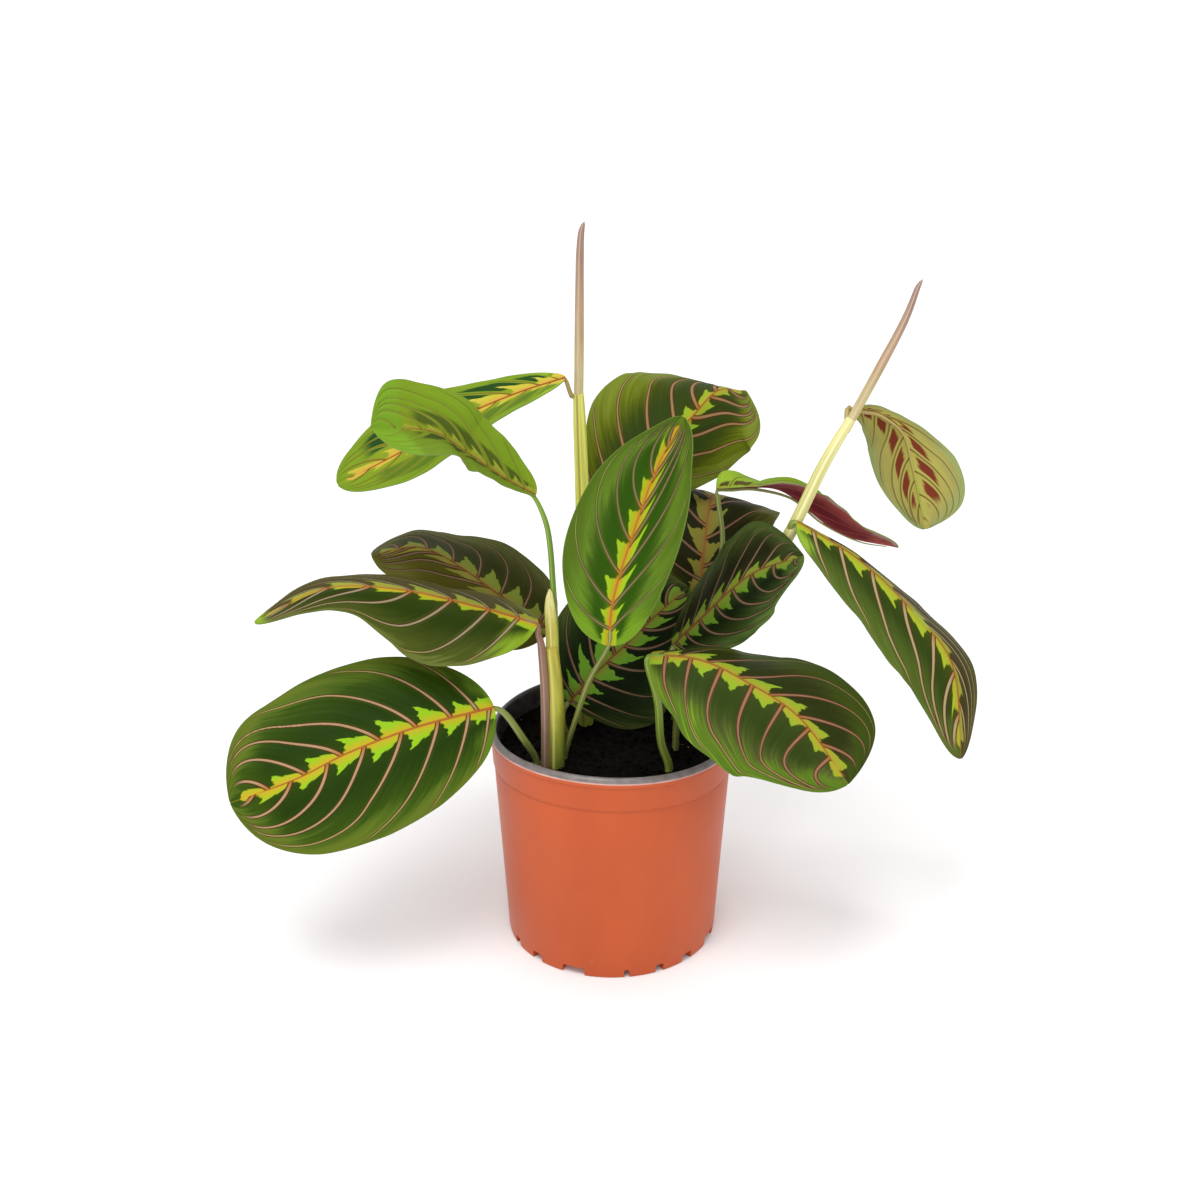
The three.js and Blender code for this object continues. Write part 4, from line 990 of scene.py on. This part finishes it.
bpy.ops.mesh.select_non_manifold()
bpy.ops.mesh.edge_face_add()
bpy.ops.mesh.select_all(action="SELECT")
bpy.ops.mesh.normals_make_consistent(inside=False)
bpy.ops.object.mode_set(mode="OBJECT")

for quarter in range(4):
    for angle, width in NOTCHES:
        turn = math.radians(angle + 90 * quarter)
        place = Vector((math.sin(turn), -math.cos(turn), 0)) * NOTCH_RADIUS * MM
        breadth = 2 * FOOT_RADIUS * math.sin(math.radians(width / 2))
        bpy.ops.mesh.primitive_cube_add(size=1, location=place, rotation=(0, 0, turn),
                                        scale=(breadth * MM, NOTCH_DEPTH * MM, 2 * NOTCH_HEIGHT * MM))
        cutter = bpy.context.object
        bpy.ops.object.mode_set(mode="EDIT")
        bpy.ops.mesh.select_all(action="SELECT")
        bpy.ops.mesh.bevel(offset=1.2 * MM, segments=4, affect="EDGES")
        bpy.ops.object.mode_set(mode="OBJECT")
        select(pot)
        cut = pot.modifiers.new("notch", "BOOLEAN")
        cut.object = cutter
        cut.solver = "EXACT"
        bpy.ops.object.modifier_apply(modifier=cut.name)
        bpy.data.objects.remove(cutter)

OUTSIDE, INSIDE, TRIMMED_EDGE_HIGHLIGHT, LIP = range(4)
pot.data.materials.append(pot_plastic())
pot.data.materials.append(black_plastic("black_recycled_polypropylene", "#2A2727", "#4A4544"))
pot.data.materials.append(cut_edge_highlight())
# the lip's grey is a painted reflection of the white studio on the black plastic
pot.data.materials.append(black_plastic("black_polypropylene_lip_painted_reflection", "#655D5A", "#7E7673"))
for face in pot.data.polygons:
    radius = math.hypot(face.center.x, face.center.y) / MM
    z = face.center.z / MM
    if z > 109.6:  # the top of the lip: its outer part takes the painted grey reflection
        face.material_index = LIP if radius > 57.5 else INSIDE
    elif z > 5.9 and radius < wall(z) - 0.9:
        face.material_index = INSIDE
    elif z > 109.2:  # a thin line round the outside: the trimmed edge with a painted highlight
        face.material_index = TRIMMED_EDGE_HIGHLIGHT
    else:
        face.material_index = OUTSIDE
write_points(pot.data, raised_rim(read_points(pot.data) / MM) * MM)
smooth_shade(pot, 40)
keep(pot, "pot", "pot")

# ------------------------------------------------------------------ soil


SOIL_LUMPS = [(1.1, 14, 3), (0.9, 4.5, 9), (0.45, 1.6, 1)]  # height, breadth, and layer of the noise
SOIL_RADIUS = 56.4
SOIL_BOTTOM = 6.6
SOIL_BOTTOM_RADIUS = 50.4


def soil_level(x, y):
    """Height of the soil's surface: dips, lumps and crumbs."""
    level = np.full_like(x, SOIL_TOP)
    for height, across, layer in SOIL_LUMPS:
        level += [height * noise.noise(Vector((px / across, py / across, layer))) for px, py in zip(x, y)]
    return level


soil, x, y = new_grid("potting_soil", 200, 60)
angle, ring = 2 * math.pi * x, np.clip(y, 0, 1)
# the rings run from the middle of the top out to the wall, down it and in under the middle again
RINGS = [0, 0.8, 0.82, 0.9, 1]
radius = np.interp(ring, RINGS, [0, SOIL_RADIUS - 1, SOIL_RADIUS - 0.8, SOIL_BOTTOM_RADIUS, 0])
height = np.interp(ring, RINGS, [SOIL_TOP, SOIL_TOP, SOIL_TOP - 1.5, SOIL_BOTTOM, SOIL_BOTTOM])
px, py = radius * np.cos(angle), radius * np.sin(angle)
top = ring < 0.805
height[top] = soil_level(px[top], py[top])
write_points(soil.data, np.stack([px, py, height], -1) * MM)
weld()
soil.data.materials.append(peat())
smooth_shade(soil, 35)

# Loose lumps of peat. The first ones are mostly dry bits: at the front up to the number AT_FRONT, then by
# a stalk at the left up to AT_LEFT, and then anywhere up to ANYWHERE.
CRUMB_COUNT = 420
AT_FRONT = 34
AT_LEFT = 46
ANYWHERE = 56
CRUMB_REACH = 55
CRUMB_LIMIT = 54.5  # no crumb lies farther out
crumbs = []
dry = bark_crumbs()
for i in range(CRUMB_COUNT):
    away = CRUMB_REACH * math.sqrt(rng.random())
    turn = rng.random() * 2 * math.pi
    size = rng.uniform(0.5, 1.7)
    pale = False
    cx, cy = away * math.cos(turn), away * math.sin(turn)
    if i < AT_FRONT:
        cx, cy = rng.normal(0, 6), rng.normal(-35.5, 1.4)
        size = rng.uniform(0.35, 0.85)
        pale = i % 3 > 0
    elif i < AT_LEFT:
        cx, cy = rng.normal(-36, 3), rng.normal(-19, 2)
        size = rng.uniform(0.5, 1.1)
        pale = True
    elif i < ANYWHERE:
        size = rng.uniform(0.3, 0.7)
        pale = True
    if math.hypot(cx, cy) > CRUMB_LIMIT:
        continue
    bpy.ops.mesh.primitive_ico_sphere_add(subdivisions=1, radius=size * MM, location=(0, 0, 0))
    crumb = bpy.context.object
    stretch = rng.uniform(0.6, 1.3, 3)
    points = read_points(crumb.data) * stretch * rng.uniform(0.75, 1.2, (len(crumb.data.vertices), 1))
    cz = float(soil_level(np.array([cx]), np.array([cy]))[0]) + 0.2 * size
    write_points(crumb.data, points + np.array([cx, cy, cz]) * MM)
    crumb.data.materials.append(dry if pale else soil.data.materials[0])
    crumbs.append(crumb)
soil = join("potting_soil", soil, *crumbs)
keep(soil, "soil", "soil")

# ------------------------------------------------------------------ studio

bpy.ops.mesh.primitive_plane_add(size=30, location=(0, 0, 0))
floor = bpy.context.object
floor.name = "studio_floor"
material, tree, shader = new_material("matt_white_paper")
shader.inputs["Base Color"].default_value = (0.9, 0.9, 0.9, 1)
shader.inputs["Roughness"].default_value = 0.9
shader.inputs["Specular IOR Level"].default_value = 0.1
floor.data.materials.append(material)

world = bpy.data.worlds.new("white_studio")
world.use_nodes = True
sky = world.node_tree.nodes["Background"]
sky.inputs["Color"].default_value = (1, 1, 1, 1)
sky.inputs["Strength"].default_value = 0.96
bpy.context.scene.world = world


def softbox(name, place, size, power, target=(0, 0, 0.15)):
    """A rectangular area light that looks at the target, with its power in watts."""
    light = bpy.data.lights.new(name, "AREA")
    light.shape = "RECTANGLE"
    light.size, light.size_y = size
    light.energy = power
    lamp = bpy.data.objects.new(name, light)
    bpy.context.scene.collection.objects.link(lamp)
    lamp.location = place
    lamp.rotation_euler = (Vector(place) - Vector(target)).to_track_quat("Z", "Y").to_euler()


softbox("overhead_softbox", (-0.4, -0.95, 2.2), (1.0, 1.0), 27)
softbox("front_softbox", (-0.2, -1.9, 1.0), (1.2, 0.8), 5)
softbox("background_softbox", (0, 3.6, 2.5), (8, 3), 34, target=(0, 3.6, 0))

camera = bpy.data.cameras.new("photograph_view")
camera.sensor_width = 36
camera.lens = 59.46
view = bpy.data.objects.new("photograph_view", camera)
bpy.context.scene.collection.objects.link(view)
view.location = (-0.006, -0.857, 0.573)
view.rotation_euler = (math.radians(90 - 24.65), 0, 0)
bpy.context.scene.camera = view
bpy.context.scene.view_settings.view_transform = "Standard"
